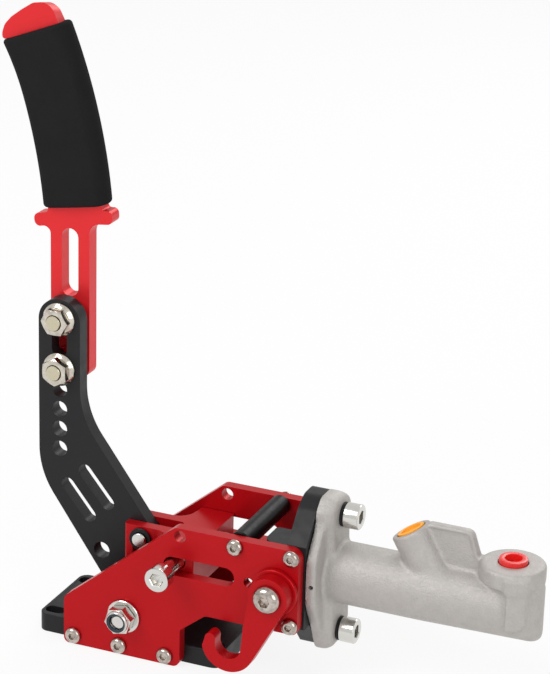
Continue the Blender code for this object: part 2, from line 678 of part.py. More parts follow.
def lever_arm(pivot):
    holes = [circle((HANDLE_X, LOWER_BOLT_HEIGHT - n * ADJUSTING_PITCH), HOLE_RADIUS) for n in range(ADJUSTING_HOLES + 1)]
    holes.append(capsule((HANDLE_X, UPPER_BOLT_HEIGHT - ARM_SLOT_LENGTH), (HANDLE_X, UPPER_BOLT_HEIGHT), HOLE_RADIUS))
    for start, end in WEIGHT_SLOTS:
        ends = [(x * MM, z * MM) for x, z in (start, end)]
        holes.append(capsule(*ends, WEIGHT_SLOT_WIDTH / 2))
    holes.append(circle(SPARE_HOLE[:2], SPARE_HOLE[2]))
    holes.append(circle((PIN_X, PULL_HEIGHT), PIN_RADIUS + GAP))
    holes.append(circle((0, PIVOT_HEIGHT), HOLE_RADIUS + BUSH_WALL + GAP))
    shape = plate("lever_arm", arm_outline(), holes, -ARM_HALF, ARM_HALF)
    piece(shape, "black", turn=NEAR, parent=pivot)
    bush = tube("lever_bush", -ARM_HALF - GAP, ARM_HALF + GAP, HOLE_RADIUS, HOLE_RADIUS + BUSH_WALL)
    piece(bush, "bronze", at=(0, 0, PIVOT_HEIGHT), turn=NEAR, parent=pivot)


def clevis_pin(pivot):
    """Pin held in the arm, with a clip outside each tine of the yoke."""
    at = (PIN_X, 0, PULL_HEIGHT)
    clip_low = TINE_OUTER + GAP
    end = clip_low + CLIP_THICKNESS + PIN_PROTRUSION
    edge = 0.4 * MM
    pin = turned("clevis_pin", [(-end, PIN_RADIUS - edge), (-end + edge, PIN_RADIUS), (end - edge, PIN_RADIUS), (end, PIN_RADIUS - edge)])
    piece(pin, "steel", at=at, turn=NEAR, parent=pivot)
    for side, turn in (("near", NEAR), ("far", FAR)):
        inner = PIN_RADIUS + GAP
        clip = tube(f"clevis_clip_{side}", clip_low, clip_low + CLIP_THICKNESS, inner, inner + CLIP_WALL)
        piece(clip, "oxide", at=at, turn=turn, parent=pivot)


def grip_point(along, across):
    """Point (x, z) in the grip's plane: so far along its bent middle line, and so far to the right of it."""
    share = along / GRIP_LENGTH
    lean = math.radians(GRIP_START_LEAN) + along / GRIP_BEND_RADIUS
    start = math.radians(GRIP_START_LEAN)
    x = HANDLE_X + GRIP_START_X - GRIP_BEND_RADIUS * (math.cos(start) - math.cos(lean))
    z = GRIP_START_HEIGHT + GRIP_BEND_RADIUS * (math.sin(lean) - math.sin(start))
    low, high = GRIP_END_TILTS
    tilt = math.radians(low + (high - low) * min(1, max(0, share)))
    return x + across * math.cos(tilt), z + across * math.sin(tilt)


def grip_corner(along, across, radius):
    return (*grip_point(along, across), radius)


def handle_blade(pivot):
    """A slotted leg, a guard, the core inside the foam and the flat head above it, in one profile."""
    left = HANDLE_X - BLADE_WIDTH / 2
    right = HANDLE_X + BLADE_WIDTH / 2
    core = CORE_WIDTH / 2
    guard = GUARD_WIDTH / 2
    steps = 6
    inside = [GRIP_LENGTH * n / steps for n in range(1, steps)]
    head = GRIP_LENGTH + GAP
    ears = -GUARD_DROP
    under = ears - GUARD_DEPTH
    corners = [(left, BLADE_BOTTOM, 5 * MM), (right, BLADE_BOTTOM, 5 * MM)]
    corners.append((right, grip_point(under, BLADE_WIDTH / 2)[1], 6 * MM))
    corners += [grip_corner(under, guard + GUARD_SHIFT, 3 * MM), grip_corner(ears, guard + GUARD_SHIFT, 2.8 * MM)]
    corners += [grip_corner(ears + 1 * MM, core + 2 * MM, 3 * MM), grip_corner(-GAP, core, 0)]
    corners += [grip_corner(along, core, 0) for along in [*inside, head]]
    corners += [grip_corner(head + rise * MM, across * MM, bend * MM) for across, rise, bend in HEAD_OUTLINE]
    corners += [grip_corner(along, -core, 0) for along in reversed([*inside, head])]
    corners += [grip_corner(-GAP, -core, 0), grip_corner(ears + 1 * MM, -core - 2 * MM, 3 * MM)]
    corners += [grip_corner(ears, GUARD_SHIFT - guard, 2.8 * MM), grip_corner(under, GUARD_SHIFT - guard, 3 * MM)]
    corners.append((left, grip_point(under, -BLADE_WIDTH / 2)[1], 6 * MM))
    end = BLADE_SLOT_WIDTH / 2
    low = UPPER_BOLT_HEIGHT + BLADE_SLOT_START
    holes = [capsule((HANDLE_X, low), (HANDLE_X, max(low + end, BLADE_SLOT_TOP - end)), end)]
    holes += [circle((HANDLE_X, height), HOLE_RADIUS) for height in (LOWER_BOLT_HEIGHT, UPPER_BOLT_HEIGHT)]
    shape = plate("handle_blade", rounded(corners), holes, -BLADE_THICKNESS / 2, BLADE_THICKNESS / 2)
    piece(shape, "red", at=(0, GRIP_Y, 0), turn=NEAR, parent=pivot)


def foam_grip(pivot):
    """Flat oval sleeve along the bent middle line, with an opening for the blade's core and soft rims."""
    facets = 28
    steps = 7
    rim = GRIP_RIM
    outside = [(0, rim), (rim, 0)]
    outside += [(GRIP_LENGTH * n / steps, 0) for n in range(1, steps)]
    outside += [(GRIP_LENGTH - rim, 0), (GRIP_LENGTH, rim)]
    rings = []
    for along, inset in outside:
        section = oval_ring(GRIP_WIDTH / 2 - inset, GRIP_DEPTH / 2 - inset, facets)
        rings.append([(*grip_point(along, across), GRIP_Y + y) for across, y in section])
    opening = rectangle_ring(CORE_WIDTH / 2 + GAP, BLADE_THICKNESS / 2 + GAP, facets)
    for n in range(steps, -1, -1):
        rings.append([(*grip_point(GRIP_LENGTH * n / steps, across), GRIP_Y + y) for across, y in opening])
    turned_rings = [[(x, y, z) for x, z, y in points] for points in rings]
    piece(skin_rings("foam_grip", turned_rings, closed=True), "foam", parent=pivot)


def handle_fasteners(pivot):
    """Two bolts that clamp the blade to the arm through spacers, each with a flange nut on the near side."""
    for name, height in (("upper", UPPER_BOLT_HEIGHT), ("lower", LOWER_BOLT_HEIGHT)):
        at = (HANDLE_X, 0, height)
        spacer = tube(f"handle_spacer_{name}", ARM_HALF + GAP, BLADE_NEAR - GAP, HOLE_RADIUS, NUT_FLANGE_RADIUS)
        piece(spacer, "red", at=at, turn=FAR, parent=pivot)
        nut_end = ARM_HALF + GAP + NUT_FLANGE_HEIGHT + HANDLE_NUT_HEIGHT
        bolt = hex_bolt_mesh(f"handle_bolt_{name}", BLADE_FAR + GAP + nut_end + BOLT_PROTRUSION, flange=True)
        piece(bolt, "steel", at=(HANDLE_X, BLADE_FAR + GAP, height), turn=FAR, parent=pivot)
        nut = nut_mesh(f"handle_nut_{name}", HANDLE_NUT_HEIGHT, flange=True, insert=0)
        piece(nut, "steel", at=(HANDLE_X, -ARM_HALF - GAP, height), turn=NEAR, parent=pivot)


# Yoke and push rod

def lowest_pin():
    """Height of the pin's centre at the full pull."""
    rise = PULL_HEIGHT - PIVOT_HEIGHT
    turn = math.radians(LEVER_TURN)
    return PIVOT_HEIGHT + rise * math.cos(turn) - PIN_X * math.sin(turn)


def yoke(slide):
    """Fork over the lever arm that flares into a crosshead as wide as the frame."""
    wide = CROSSHEAD_HALF
    outline = rounded([
        (CROSSHEAD_RIGHT, -wide, 1 * MM),
        (CROSSHEAD_RIGHT, wide, 1 * MM),
        (CROSSHEAD_LEFT, wide, 1 * MM),
        (CROSSHEAD_LEFT - TINE_FILLET * 0.2, TINE_OUTER, TINE_FILLET),
        (YOKE_LEFT, TINE_OUTER, 1.5 * MM),
        (YOKE_LEFT, TINE_INNER, 0),
        (FORK_ROOT, TINE_INNER, TINE_INNER * 0.6),
        (FORK_ROOT, -TINE_INNER, TINE_INNER * 0.6),
        (YOKE_LEFT, -TINE_INNER, 0),
        (YOKE_LEFT, -TINE_OUTER, 1.5 * MM),
        (CROSSHEAD_LEFT - TINE_FILLET * 0.2, -TINE_OUTER, TINE_FILLET),
        (CROSSHEAD_LEFT, -wide, 1 * MM),
    ])
    body = piece(plate("yoke", outline, [], YOKE_BOTTOM, YOKE_TOP), "red", parent=slide)
    slot = plate(
        "pin_slot",
        capsule((PIN_X, lowest_pin()), (PIN_X, PULL_HEIGHT + GAP), PIN_RADIUS + PIN_PLAY),
        [],
        -TINE_OUTER * 1.2,
        TINE_OUTER * 1.2,
    )
    combine(body, slot, (0, 0, 0), NEAR)
    rod_hole = turned("rod_hole", [(0, HOLE_RADIUS), (ROD_END_DEPTH * 1.5, HOLE_RADIUS)], 20)
    combine(body, rod_hole, (CROSSHEAD_RIGHT - ROD_END_DEPTH - GAP, 0, PULL_HEIGHT), FORWARD)
    bolt_hole = turned("lock_bolt_hole", [(-wide * 0.55, HOLE_RADIUS), (wide * 0.2, HOLE_RADIUS)], 20)
    combine(body, bolt_hole, (LOCK_BOLT_X, -wide, PULL_HEIGHT), NEAR)


def lock_bolt(slide):
    """Screw through the near window, left standing proud for the hook."""
    shape = cap_screw_mesh("lock_bolt", LOCK_BOLT_SEAT - CROSSHEAD_HALF * 0.5)
    piece(shape, "steel", at=(LOCK_BOLT_X, -LOCK_BOLT_SEAT, PULL_HEIGHT), turn=NEAR, parent=slide)


def push_rod(slide):
    start = CROSSHEAD_RIGHT - ROD_END_DEPTH
    end = PISTON_START + LAND_LENGTH - GAP
    tip = BOLT_RADIUS * 0.5
    sections = [(start, BOLT_RADIUS), (end - tip, BOLT_RADIUS), (end - tip * 0.4, BOLT_RADIUS * 0.8), (end, BOLT_RADIUS * 0.4)]
    piece(turned("push_rod", sections, 20), "steel", at=(0, 0, PULL_HEIGHT), turn=FORWARD, parent=slide)
    nut = nut_mesh("rod_lock_nut", NUT_HEIGHT, flange=False, insert=0)
    piece(nut, "steel", at=(CROSSHEAD_RIGHT + GAP, 0, PULL_HEIGHT), turn=FORWARD, parent=slide)


# Hook

def hook_outline():
    """Eye, a slanted shank and an open throat for the lock bolt, round the hook's own screw."""
    throat = Vector((HOOK_THROAT[0] * MM, HOOK_THROAT[1] * MM))
    opening = HOOK_THROAT_RADIUS
    wall = HOOK_WALL
    rise = HOOK_TIP_RISE
    outer = opening + wall
    eye = arc((0, 0), HOOK_EYE_RADIUS, math.radians(-28), math.radians(195))
    shank_inner = [(throat.x + opening * 1.15, throat.y + 13 * MM)]
    inside = arc(throat, opening, 0, -math.pi)
    tip = arc(
        (throat.x - opening - wall * 0.38, throat.y + rise - wall * 0.45),
        wall * 0.4,
        0,
        math.pi,
    )
    back = arc(throat, outer, math.radians(190), math.radians(330))
    points = eye + shank_inner + inside + tip + back
    return points


def hook(swing):
    shape = plate("lock_hook", hook_outline(), [circle((0, 0), HOLE_RADIUS)], 0, HOOK_THICKNESS)
    piece(shape, "red", at=(HOOK_X, -HOOK_INNER, HOOK_HEIGHT), turn=NEAR, parent=swing)
    standoff = HOOK_INNER - PLATE_OUTER
    spacer = tube("hook_spacer", GAP, standoff - GAP, HOLE_RADIUS, HOOK_SPACER_RADIUS)
    piece(spacer, "red", at=(HOOK_X, -PLATE_OUTER, HOOK_HEIGHT), turn=NEAR)
    height = HOOK_SCREW_HEAD_HEIGHT
    seat = HOOK_OUTER + GAP
    sections = [
        (PLATE_INNER - LUG_WIDTH * 0.8 - seat, BOLT_RADIUS),
        (0, BOLT_RADIUS),
        (0, HOOK_SCREW_HEAD_RADIUS),
        (height * 0.3, HOOK_SCREW_HEAD_RADIUS),
        (height * 0.75, HOOK_SCREW_HEAD_RADIUS * 0.8),
        (height, HOOK_SCREW_HEAD_RADIUS * 0.5),
        (height, ("hex", HOOK_SCREW_SOCKET)),
        (height * 0.3, ("hex", HOOK_SCREW_SOCKET)),
    ]
    piece(turned("hook_screw", sections), "steel", at=(HOOK_X, -seat, HOOK_HEIGHT), turn=NEAR)


# Master cylinder

def flange_ribs():
    """Outline of the two bolt bosses and the upright rib that joins them across the barrel."""
    bend = math.acos(FLANGE_RIB_HALF_WIDTH / FLANGE_BOSS_RADIUS)
    upper = arc((0, CYLINDER_BOLT_RISE), FLANGE_BOSS_RADIUS, -bend, math.pi + bend)
    lower = arc((0, -CYLINDER_BOLT_RISE), FLANGE_BOSS_RADIUS, math.pi - bend, 2 * math.pi + bend)
    return upper + lower


def cylinder_body():
    """Aluminium casting: ribbed flange, barrel, slanted inlet with its web, and upright outlet."""
    half = [
        (FLANGE_EAR_HALF_WIDTH, FLANGE_RISE, 9.5 * MM),
        (FLANGE_EAR_HALF_WIDTH, FLANGE_RISE - 11 * MM, 8 * MM),
        (INSERT_EDGE, 13 * MM, 14 * MM),
        (INSERT_EDGE, -9 * MM, 16 * MM),
        (FLANGE_EAR_HALF_WIDTH * 0.7, -FLANGE_RISE, 7 * MM),
    ]
    face = FLANGE_START + FLANGE_PLATE
    shape = plate("cylinder_body", rounded(mirrored(half)), [], FLANGE_START, face)
    body = piece(shape, "cast", at=(0, 0, PULL_HEIGHT), turn=ACROSS)
    ribs = plate("flange_ribs", flange_ribs(), [], FLANGE_START + FLANGE_PLATE / 2, FLANGE_END)
    combine(body, ribs, (0, 0, PULL_HEIGHT), ACROSS, "UNION")

    flare = BARREL_FLARE
    nose = OUTLET_X + OUTLET_RADIUS
    barrel = [(face - FLANGE_PLATE / 3, BODY_RADIUS + flare), (face + 1 * MM, BODY_RADIUS + flare)]
    barrel += [
        (face + 1 * MM + flare * (1 - math.cos(math.radians(a))), BODY_RADIUS + flare * (1 - math.sin(math.radians(a))))
        for a in (30, 60, 90)
    ]
    barrel.append((nose + 1 * MM, BODY_RADIUS))
    combine(body, turned("barrel", barrel, 40), (0, 0, PULL_HEIGHT), FORWARD, "UNION")
    beyond = OUTLET_RADIUS + 3 * MM
    pad = plate("outlet_pad", rounded([
        (OUTLET_X + PAD_START, PAD_BOTTOM, 1 * MM),
        (OUTLET_X + PAD_END, PAD_BOTTOM, 7 * MM),
        (OUTLET_X + PAD_END, OUTLET_TOP - OUTLET_HEAD + 1 * MM, 0),
        (OUTLET_X + PAD_START, OUTLET_TOP - OUTLET_HEAD + 1 * MM, 0),
    ]), [], BORE_RADIUS / 2, OUTLET_RADIUS + 1 * MM)
    combine(body, pad, (0, 0, 0), NEAR, "UNION")
    trim = arc((0, 0), OUTLET_RADIUS, -math.pi / 2, math.pi / 2)
    trim += [(0, beyond), (beyond, beyond), (beyond, -beyond), (0, -beyond)]
    nose_trim = plate("nose_trim", trim, [], -beyond, beyond)
    combine(body, nose_trim, (OUTLET_X, 0, PULL_HEIGHT), LEVEL)

    tilt = math.radians(-INLET_TILT)
    edge = 1 * MM
    inlet = turned("inlet_boss", [(0, INLET_RADIUS), (INLET_REACH - edge, INLET_RADIUS), (INLET_REACH, INLET_RADIUS - edge)], 28)
    combine(body, inlet, (INLET_X, 0, PULL_HEIGHT), (0, tilt, 0), "UNION")

    web = plate("inlet_web", rounded([
        (INLET_X - INLET_REACH * math.sin(-tilt) * 0.5, PULL_HEIGHT, 0),
        (WEB_RIGHT + 5 * MM, PULL_HEIGHT, 0),
        (WEB_RIGHT + 4.7 * MM, PULL_HEIGHT + BODY_RADIUS + 6 * MM, 0),
        (WEB_RIGHT, WEB_TOP, 4 * MM),
        (INLET_X - INLET_REACH * math.sin(-tilt) * 0.5, WEB_TOP, 0),
    ]), [], -WEB_THICKNESS / 2, WEB_THICKNESS / 2)
    combine(body, web, (0, 0, 0), NEAR, "UNION")

    edge = 1.4 * MM
    high = OUTLET_TOP - PULL_HEIGHT
    under = high - OUTLET_HEAD
    outlet = turned("outlet_boss", [
        (0, OUTLET_NECK_RADIUS),
        (under - 2 * MM, OUTLET_NECK_RADIUS),
        (under, OUTLET_RADIUS),
        (high - edge, OUTLET_RADIUS),
        (high, OUTLET_RADIUS - edge),
    ], 40)
    combine(body, outlet, (OUTLET_X, 0, PULL_HEIGHT), LEVEL, "UNION")

    bolt_hole = [(FLANGE_START - 1 * MM, HOLE_RADIUS), (FLANGE_END + 1 * MM, HOLE_RADIUS)]
    for side in (1, -1):
        combine(body, turned("flange_hole", bolt_hole, 20), (0, 0, PULL_HEIGHT + side * CYLINDER_BOLT_RISE), FORWARD)
    bore = turned("cylinder_bore", [(FLANGE_START - 2 * MM, BORE_RADIUS), (BORE_END, BORE_RADIUS)], 32)
    combine(body, bore, (0, 0, PULL_HEIGHT), FORWARD)
    pocket = PLUG_RADIUS + GAP
    inlet_port = turned("inlet_port", [
        (BORE_RADIUS / 2, PORT_RADIUS),
        (INLET_REACH - PLUG_DEPTH - GAP, PORT_RADIUS),
        (INLET_REACH - PLUG_DEPTH - GAP, pocket),
        (INLET_REACH + 2 * MM, pocket),
    ])
    combine(body, inlet_port, (INLET_X, 0, PULL_HEIGHT), (0, tilt, 0))
    outlet_port = turned("outlet_port", [
        (BORE_RADIUS / 2, PORT_RADIUS),
        (high - PLUG_DEPTH - GAP, PORT_RADIUS),
        (high - PLUG_DEPTH - GAP, pocket),
        (high + 2 * MM, pocket),
    ])
    combine(body, outlet_port, (OUTLET_X, 0, PULL_HEIGHT), LEVEL)


def plug_mesh(name, proud):
    """Push-in plug: seat at height 0 is the casting's face."""
    edge = 0.6 * MM
    dish = PLUG_RADIUS * 0.72
    return turned(name, [
        (-PLUG_DEPTH, PLUG_RADIUS - edge),
        (-PLUG_DEPTH + edge, PLUG_RADIUS),
        (proud - edge, PLUG_RADIUS),
        (proud, PLUG_RADIUS - edge),
        (proud, dish),
        (proud - edge, dish - edge),
    ])


def port_plugs():
    tilt = math.radians(-INLET_TILT)
    reach = Vector((math.sin(tilt), 0, math.cos(tilt))) * INLET_REACH
    at = Vector((INLET_X, 0, PULL_HEIGHT)) + reach
    piece(plug_mesh("inlet_plug", 0.6 * MM), "orange", at=at, turn=(0, tilt, 0))
    piece(plug_mesh("outlet_plug", 2.4 * MM), "red_plastic", at=(OUTLET_X, 0, OUTLET_TOP))


def cylinder_bolts():
    length = FLANGE_THICKNESS + BRACKET_THICKNESS
    for name, rise in (("upper", CYLINDER_BOLT_RISE), ("lower", -CYLINDER_BOLT_RISE)):
        at = (FLANGE_END + GAP, 0, PULL_HEIGHT + rise)
        piece(cap_screw_mesh(f"cylinder_bolt_{name}", length), "steel", at=at, turn=FORWARD)


def piston_set(slide):
    """Spool piston with its two cups, and the spring that returns it."""
    at = (0, 0, PULL_HEIGHT)
    land = BORE_RADIUS - BORE_PLAY
    start = PISTON_START
    socket = BOLT_RADIUS + GAP
    groove = start + LAND_LENGTH + GAP
    after = groove + CUP_WIDTH
    end = start + PISTON_LENGTH
    sections = [
        (start + LAND_LENGTH, socket),
        (start, socket),
        (start, land),
        (groove, land),
        (groove, PISTON_CORE_RADIUS + GAP / 2),
        (after, PISTON_CORE_RADIUS + GAP / 2),
        (after, land),
        (after + LAND_LENGTH / 2, land),
        (after + LAND_LENGTH / 2, PISTON_CORE_RADIUS),
        (end - LAND_LENGTH, PISTON_CORE_RADIUS),
        (end - LAND_LENGTH, land),
        (end, land),
        (end, PISTON_NOSE_RADIUS),
        (end + CUP_WIDTH, PISTON_NOSE_RADIUS),
    ]
    piece(turned("piston", sections), "cast", at=at, turn=FORWARD, parent=slide)
    rear = tube("secondary_cup", groove + GAP, after - GAP, PISTON_CORE_RADIUS + GAP, land)
    piece(rear, "seal", at=at, turn=FORWARD, parent=slide)
    front = tube("primary_cup", end + GAP, end + CUP_WIDTH, PISTON_NOSE_RADIUS + GAP, land)
    piece(front, "seal", at=at, turn=FORWARD, parent=slide)
    return_spring(end + CUP_WIDTH + GAP + SPRING_WIRE_RADIUS, BORE_END - GAP - SPRING_WIRE_RADIUS)


def return_spring(start, end):
    """Coil round the bore's axis from the primary cup to the end of the bore."""
    radius = (PISTON_NOSE_RADIUS + BORE_RADIUS) / 2
    count = SPRING_TURNS * SPRING_FACETS
    curve = bpy.data.curves.new("return_spring", "CURVE")
    curve.dimensions = "3D"
    curve.bevel_depth = SPRING_WIRE_RADIUS
    curve.bevel_resolution = 0
    curve.use_fill_caps = True
    wire = curve.splines.new("POLY")
    wire.points.add(count)
    for index, point in enumerate(wire.points):
        angle = 2 * math.pi * index / SPRING_FACETS
        x = start + (end - start) * index / count
        point.co = (x, radius * math.cos(angle), radius * math.sin(angle), 1)
    made = bpy.data.objects.new("return_spring", curve)
    made.location = (0, 0, PULL_HEIGHT)
    bpy.context.scene.collection.objects.link(made)
    curve.materials.append(material("return_spring", "steel"))


def cylinder_mouth():
    """Washer and snap ring that keep the piston in the bore, round the push rod."""
    at = (0, 0, PULL_HEIGHT)
    outer = BORE_RADIUS - GAP
    ring_start = FLANGE_START + GAP * 2
    ring_end = ring_start + 1.6 * MM
    piece(tube("snap_ring", ring_start, ring_end, BOLT_RADIUS + 2 * MM, outer), "oxide", at=at, turn=FORWARD)
    stop = tube("stop_washer", ring_end + GAP, PISTON_START - GAP, BOLT_RADIUS + GAP * 3, outer)
    piece(stop, "steel", at=at, turn=FORWARD)


def main():
    for old in list(bpy.data.objects):
        bpy.data.objects.remove(old)
    lever_axis = joint_axis("lever_axis", (0, 0, PIVOT_HEIGHT))
    pull_line = joint_axis("pull_line", (0, 0, PULL_HEIGHT))
    hook_axis = joint_axis("hook_axis", (HOOK_X, 0, HOOK_HEIGHT))
    base_plate()
    side_plate("near")
    side_plate("far")
    cross_spacer()
    cylinder_bracket()
    fasten_side_plates()
    main_pivot()
    lever_arm(lever_axis)
    clevis_pin(lever_axis)
    handle_blade(lever_axis)
    foam_grip(lever_axis)
    handle_fasteners(lever_axis)
    yoke(pull_line)
    lock_bolt(pull_line)
    push_rod(pull_line)
    hook(hook_axis)
    cylinder_body()
    cylinder_bolts()
    port_plugs()
    piston_set(pull_line)
    cylinder_mouth()


main()
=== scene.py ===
"""Looks of the parking brake lever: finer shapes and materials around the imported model.

X runs to the cylinder, Z runs up, and the near side is at -Y. Lengths are in mm until place() turns them to metres.
"""

import math

import bmesh
import bpy
import numpy as np
from mathutils import Matrix, Vector


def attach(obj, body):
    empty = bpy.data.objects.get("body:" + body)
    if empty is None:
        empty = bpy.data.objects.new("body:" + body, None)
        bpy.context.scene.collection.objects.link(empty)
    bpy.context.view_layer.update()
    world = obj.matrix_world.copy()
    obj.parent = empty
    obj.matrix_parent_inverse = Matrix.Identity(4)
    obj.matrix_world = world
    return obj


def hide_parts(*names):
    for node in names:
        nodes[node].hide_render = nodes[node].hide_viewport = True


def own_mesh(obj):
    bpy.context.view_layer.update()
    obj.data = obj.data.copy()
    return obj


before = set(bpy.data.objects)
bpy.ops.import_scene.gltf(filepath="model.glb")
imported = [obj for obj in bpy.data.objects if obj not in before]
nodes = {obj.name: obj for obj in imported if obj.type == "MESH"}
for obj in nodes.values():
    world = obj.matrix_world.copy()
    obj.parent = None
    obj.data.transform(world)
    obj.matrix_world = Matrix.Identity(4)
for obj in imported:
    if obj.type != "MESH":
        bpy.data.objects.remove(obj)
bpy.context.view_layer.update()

# Sizes that the source gives, in mm
PIVOT, PULL = 22.4, 56.0  # heights of the main pivot and of the line of pull
HANDLE = -51.4  # X of the handle's bolts
LOWER_BOLT, UPPER_BOLT = 138.5, 165.5  # heights of the handle's bolts
CLEVIS_X = -1.5
PLATE_IN, PLATE_OUT = 26.0, 32.0  # the side plates' faces, from the middle
INSERT = 25.7  # half width of what stands between the side plates
GAP = 0.3
HOLE = 4.3  # radius of the hole for an M8 shank
TAPPED = 2.8  # radius of the hole for an M5 shank
THREAD, PITCH, FLATS = 4.0, 1.25, 13.0  # M8: shank's radius, thread's pitch, width across flats
TOP = 77.4  # upper edge of the side plates
SCREW_Z = 73.4
LOWER_SCREW_Z = SCREW_Z - 36.9
BASE_SCREWS_X = (-29, -3, 23)
BAR_X, BRACKET_X = 60.7, 91
SCREWS = [(f"base_screw_{n}", x, 5) for n, x in enumerate(BASE_SCREWS_X, 1)]
SCREWS += [("spacer_screw", BAR_X, SCREW_Z), ("bracket_screw_upper", BRACKET_X, SCREW_Z),
           ("bracket_screw_lower", BRACKET_X, LOWER_SCREW_Z)]
FLANGE0, FLANGE1 = 96.3, 106.6  # the cylinder flange's two faces, in X
BOLT_RISE = 31.5  # from the line of pull to either of the flange's bolts
INLET_X, OUTLET_X = 158.7, 194.5
LEAN_X, LEAN_Z = -0.5, math.sqrt(0.75)  # direction of the inlet
INLET_END = 35.2  # from the line of pull to the inlet's mouth
HOOK = (83.0, 54.4)
HOOK_IN, HOOK_OUT = 35.3, 42.3
LOCK_X, LOCK_SEAT = 26.5, 42.8
GRIP_Y = 12.0
CORE_LENGTH = 89.3  # length of the blade inside the foam
GRIP_BEND = 300  # bend radius of the grip
NEAR, FAR, EAST, UP = Vector((0, -1, 0)), Vector((0, 1, 0)), Vector((1, 0, 0)), Vector((0, 0, 1))
CHORD = 0.012  # how far an arc's facets may leave its circle


# Outlines

def arc(centre, radius, start, end):
    step = 2 * math.acos(max(0.0, 1 - CHORD / radius))
    count = max(3, math.ceil(abs(end - start) / step))
    return [(centre[0] + radius * math.cos(start + (end - start) * n / count),
             centre[1] + radius * math.sin(start + (end - start) * n / count)) for n in range(count + 1)]


def circle(centre, radius):
    return arc(centre, radius, 0, 2 * math.pi)[:-1]


def capsule(start, end, radius):
    way = math.atan2(end[1] - start[1], end[0] - start[0])
    q = math.pi / 2
    return arc(end, radius, way - q, way + q) + arc(start, radius, way + q, way + 3 * q)


def rounded(corners):
    points = []
    for index, (x, y, radius) in enumerate(corners):
        here = Vector((x, y))
        back = Vector(corners[index - 1][:2]) - here
        ahead = Vector(corners[(index + 1) % len(corners)][:2]) - here
        half = back.angle(ahead) / 2
        reach = min(radius / math.tan(half), back.length / 2, ahead.length / 2)
        if reach < 0.05:
            points.append((x, y))
            continue
        back.normalize()
        ahead.normalize()
        bend = reach * math.tan(half)
        centre = here + (back + ahead).normalized() * (bend / math.sin(half))
        first = here + back * reach - centre
        last = here + ahead * reach - centre
        start = math.atan2(first.y, first.x)
        turn = (math.atan2(last.y, last.x) - start + math.pi) % (2 * math.pi) - math.pi
        points += arc(centre, bend, start, start + turn)
    return [p for p, q in zip(points, points[1:] + points[:1]) if math.dist(p, q) > 1e-3]


def mirrored(half):
    return half + [(-x, y, r) for x, y, r in reversed(half)]


def hexagon(flats):
    reach = flats / math.sqrt(3)
    return [(reach * math.cos(math.radians(a)), reach * math.sin(math.radians(a))) for a in range(30, 390, 60)]


# Solids

def shown(name, mesh):
    made = bpy.data.objects.new(name, mesh)
    bpy.context.scene.collection.objects.link(made)
    return made


def filled(name, bm):
    mesh = bpy.data.meshes.new(name)
    bm.to_mesh(mesh)
    bm.free()
    return shown(name, mesh)


def link(name, bm):
    bmesh.ops.recalc_face_normals(bm, faces=bm.faces[:])
    return filled(name, bm)


def slab(name, outline, holes, low, high, axis="y"):
    """A plate with holes right through it. Its outline is in X and Z, in X and Y, or in Y and Z."""
    order = {"y": lambda u, v, w: (u, w, v), "z": lambda u, v, w: (u, v, w), "x": lambda u, v, w: (w, u, v)}[axis]
    bm = bmesh.new()
    edges = []
    for loop in [outline, *holes]:
        corners = [bm.verts.new(order(u, v, low)) for u, v in loop]
        edges += [bm.edges.new((corners[i - 1], corners[i])) for i in range(len(corners))]
    bmesh.ops.triangle_fill(bm, use_beauty=True, use_dissolve=False, edges=edges)
    raised = bmesh.ops.extrude_face_region(bm, geom=bm.faces[:])["geom"]
    move = Vector(order(0, 0, high - low))
    bmesh.ops.translate(bm, verts=[g for g in raised if isinstance(g, bmesh.types.BMVert)], vec=move)
    return link(name, bm)


def skin(name, rings, closed=False):
    """Faces between rings of points. The ends get a face each, unless the last ring joins the first."""
    bm = bmesh.new()
    loops = [[bm.verts.new(p) for p in ring] for ring in rings]
    size = len(loops[0])
    for k in range(len(loops) if closed else len(loops) - 1):
        a, b = loops[k], loops[(k + 1) % len(loops)]
        for i in range(size):
            bm.faces.new((a[i - 1], a[i], b[i], b[i - 1]))
    if not closed:
        bm.faces.new(loops[0])
        bm.faces.new(loops[-1])
    return link(name, bm)


def drill(name, low, high, radius, at, way, count):
    return turned(name, [(low, radius), (high, radius)], at, way, count)


def frame_at(at, way):
    """Carries a piece that was made along Z to a place and a direction."""
    return Matrix.Translation(at) @ Vector((0, 0, 1)).rotation_difference(way).to_matrix().to_4x4()


def ring_of(section, count):
    """A circle, or a hexagon given as ("hex", flats), as many points on each."""
    points = []
    for n in range(count):
        a = 2 * math.pi * n / count
        r = section
        if isinstance(section, tuple):
            r = section[1] / 2 / math.cos((a % (math.pi / 3)) - math.pi / 6)
        points.append((r * math.cos(a), r * math.sin(a)))
    return points


def turned(name, sections, at, way, count=48, hollow=False):
    """A turned piece from pairs of height and radius. A hollow one closes on itself, like a ring."""
    stand = frame_at(at, way)
    rings = [[stand @ Vector((x, y, h)) for x, y in ring_of(s, count)] for h, s in sections]
    return skin(name, rings, closed=hollow)


def threaded(name, low, high, radius, pitch, at, way, tail=()):
    """A shank with a rolled thread from low to high, then further plain sections."""
    stand = frame_at(at, way)
    count = 28
    depth = pitch * 0.5
    steps = max(2, round((high - low) / pitch * 6))
    rings = []
    for k in range(steps + 1):
        h = low + (high - low) * k / steps
        fade = min(1, (h - low) / (pitch * 0.8))
        ring = []
        for n in range(count):
            a = 2 * math.pi * n / count
            wave = abs(((h / pitch - n / count) % 1) * 2 - 1)
            r = radius - depth * min(1, wave * 1.2) - (1 - fade) * depth * 0.6
            ring.append(stand @ Vector((r * math.cos(a), r * math.sin(a), h)))
        rings.append(ring)
    for h, r in tail:
        rings.append([stand @ Vector((x, y, h)) for x, y in ring_of(r, count)])
    return skin(name, rings)


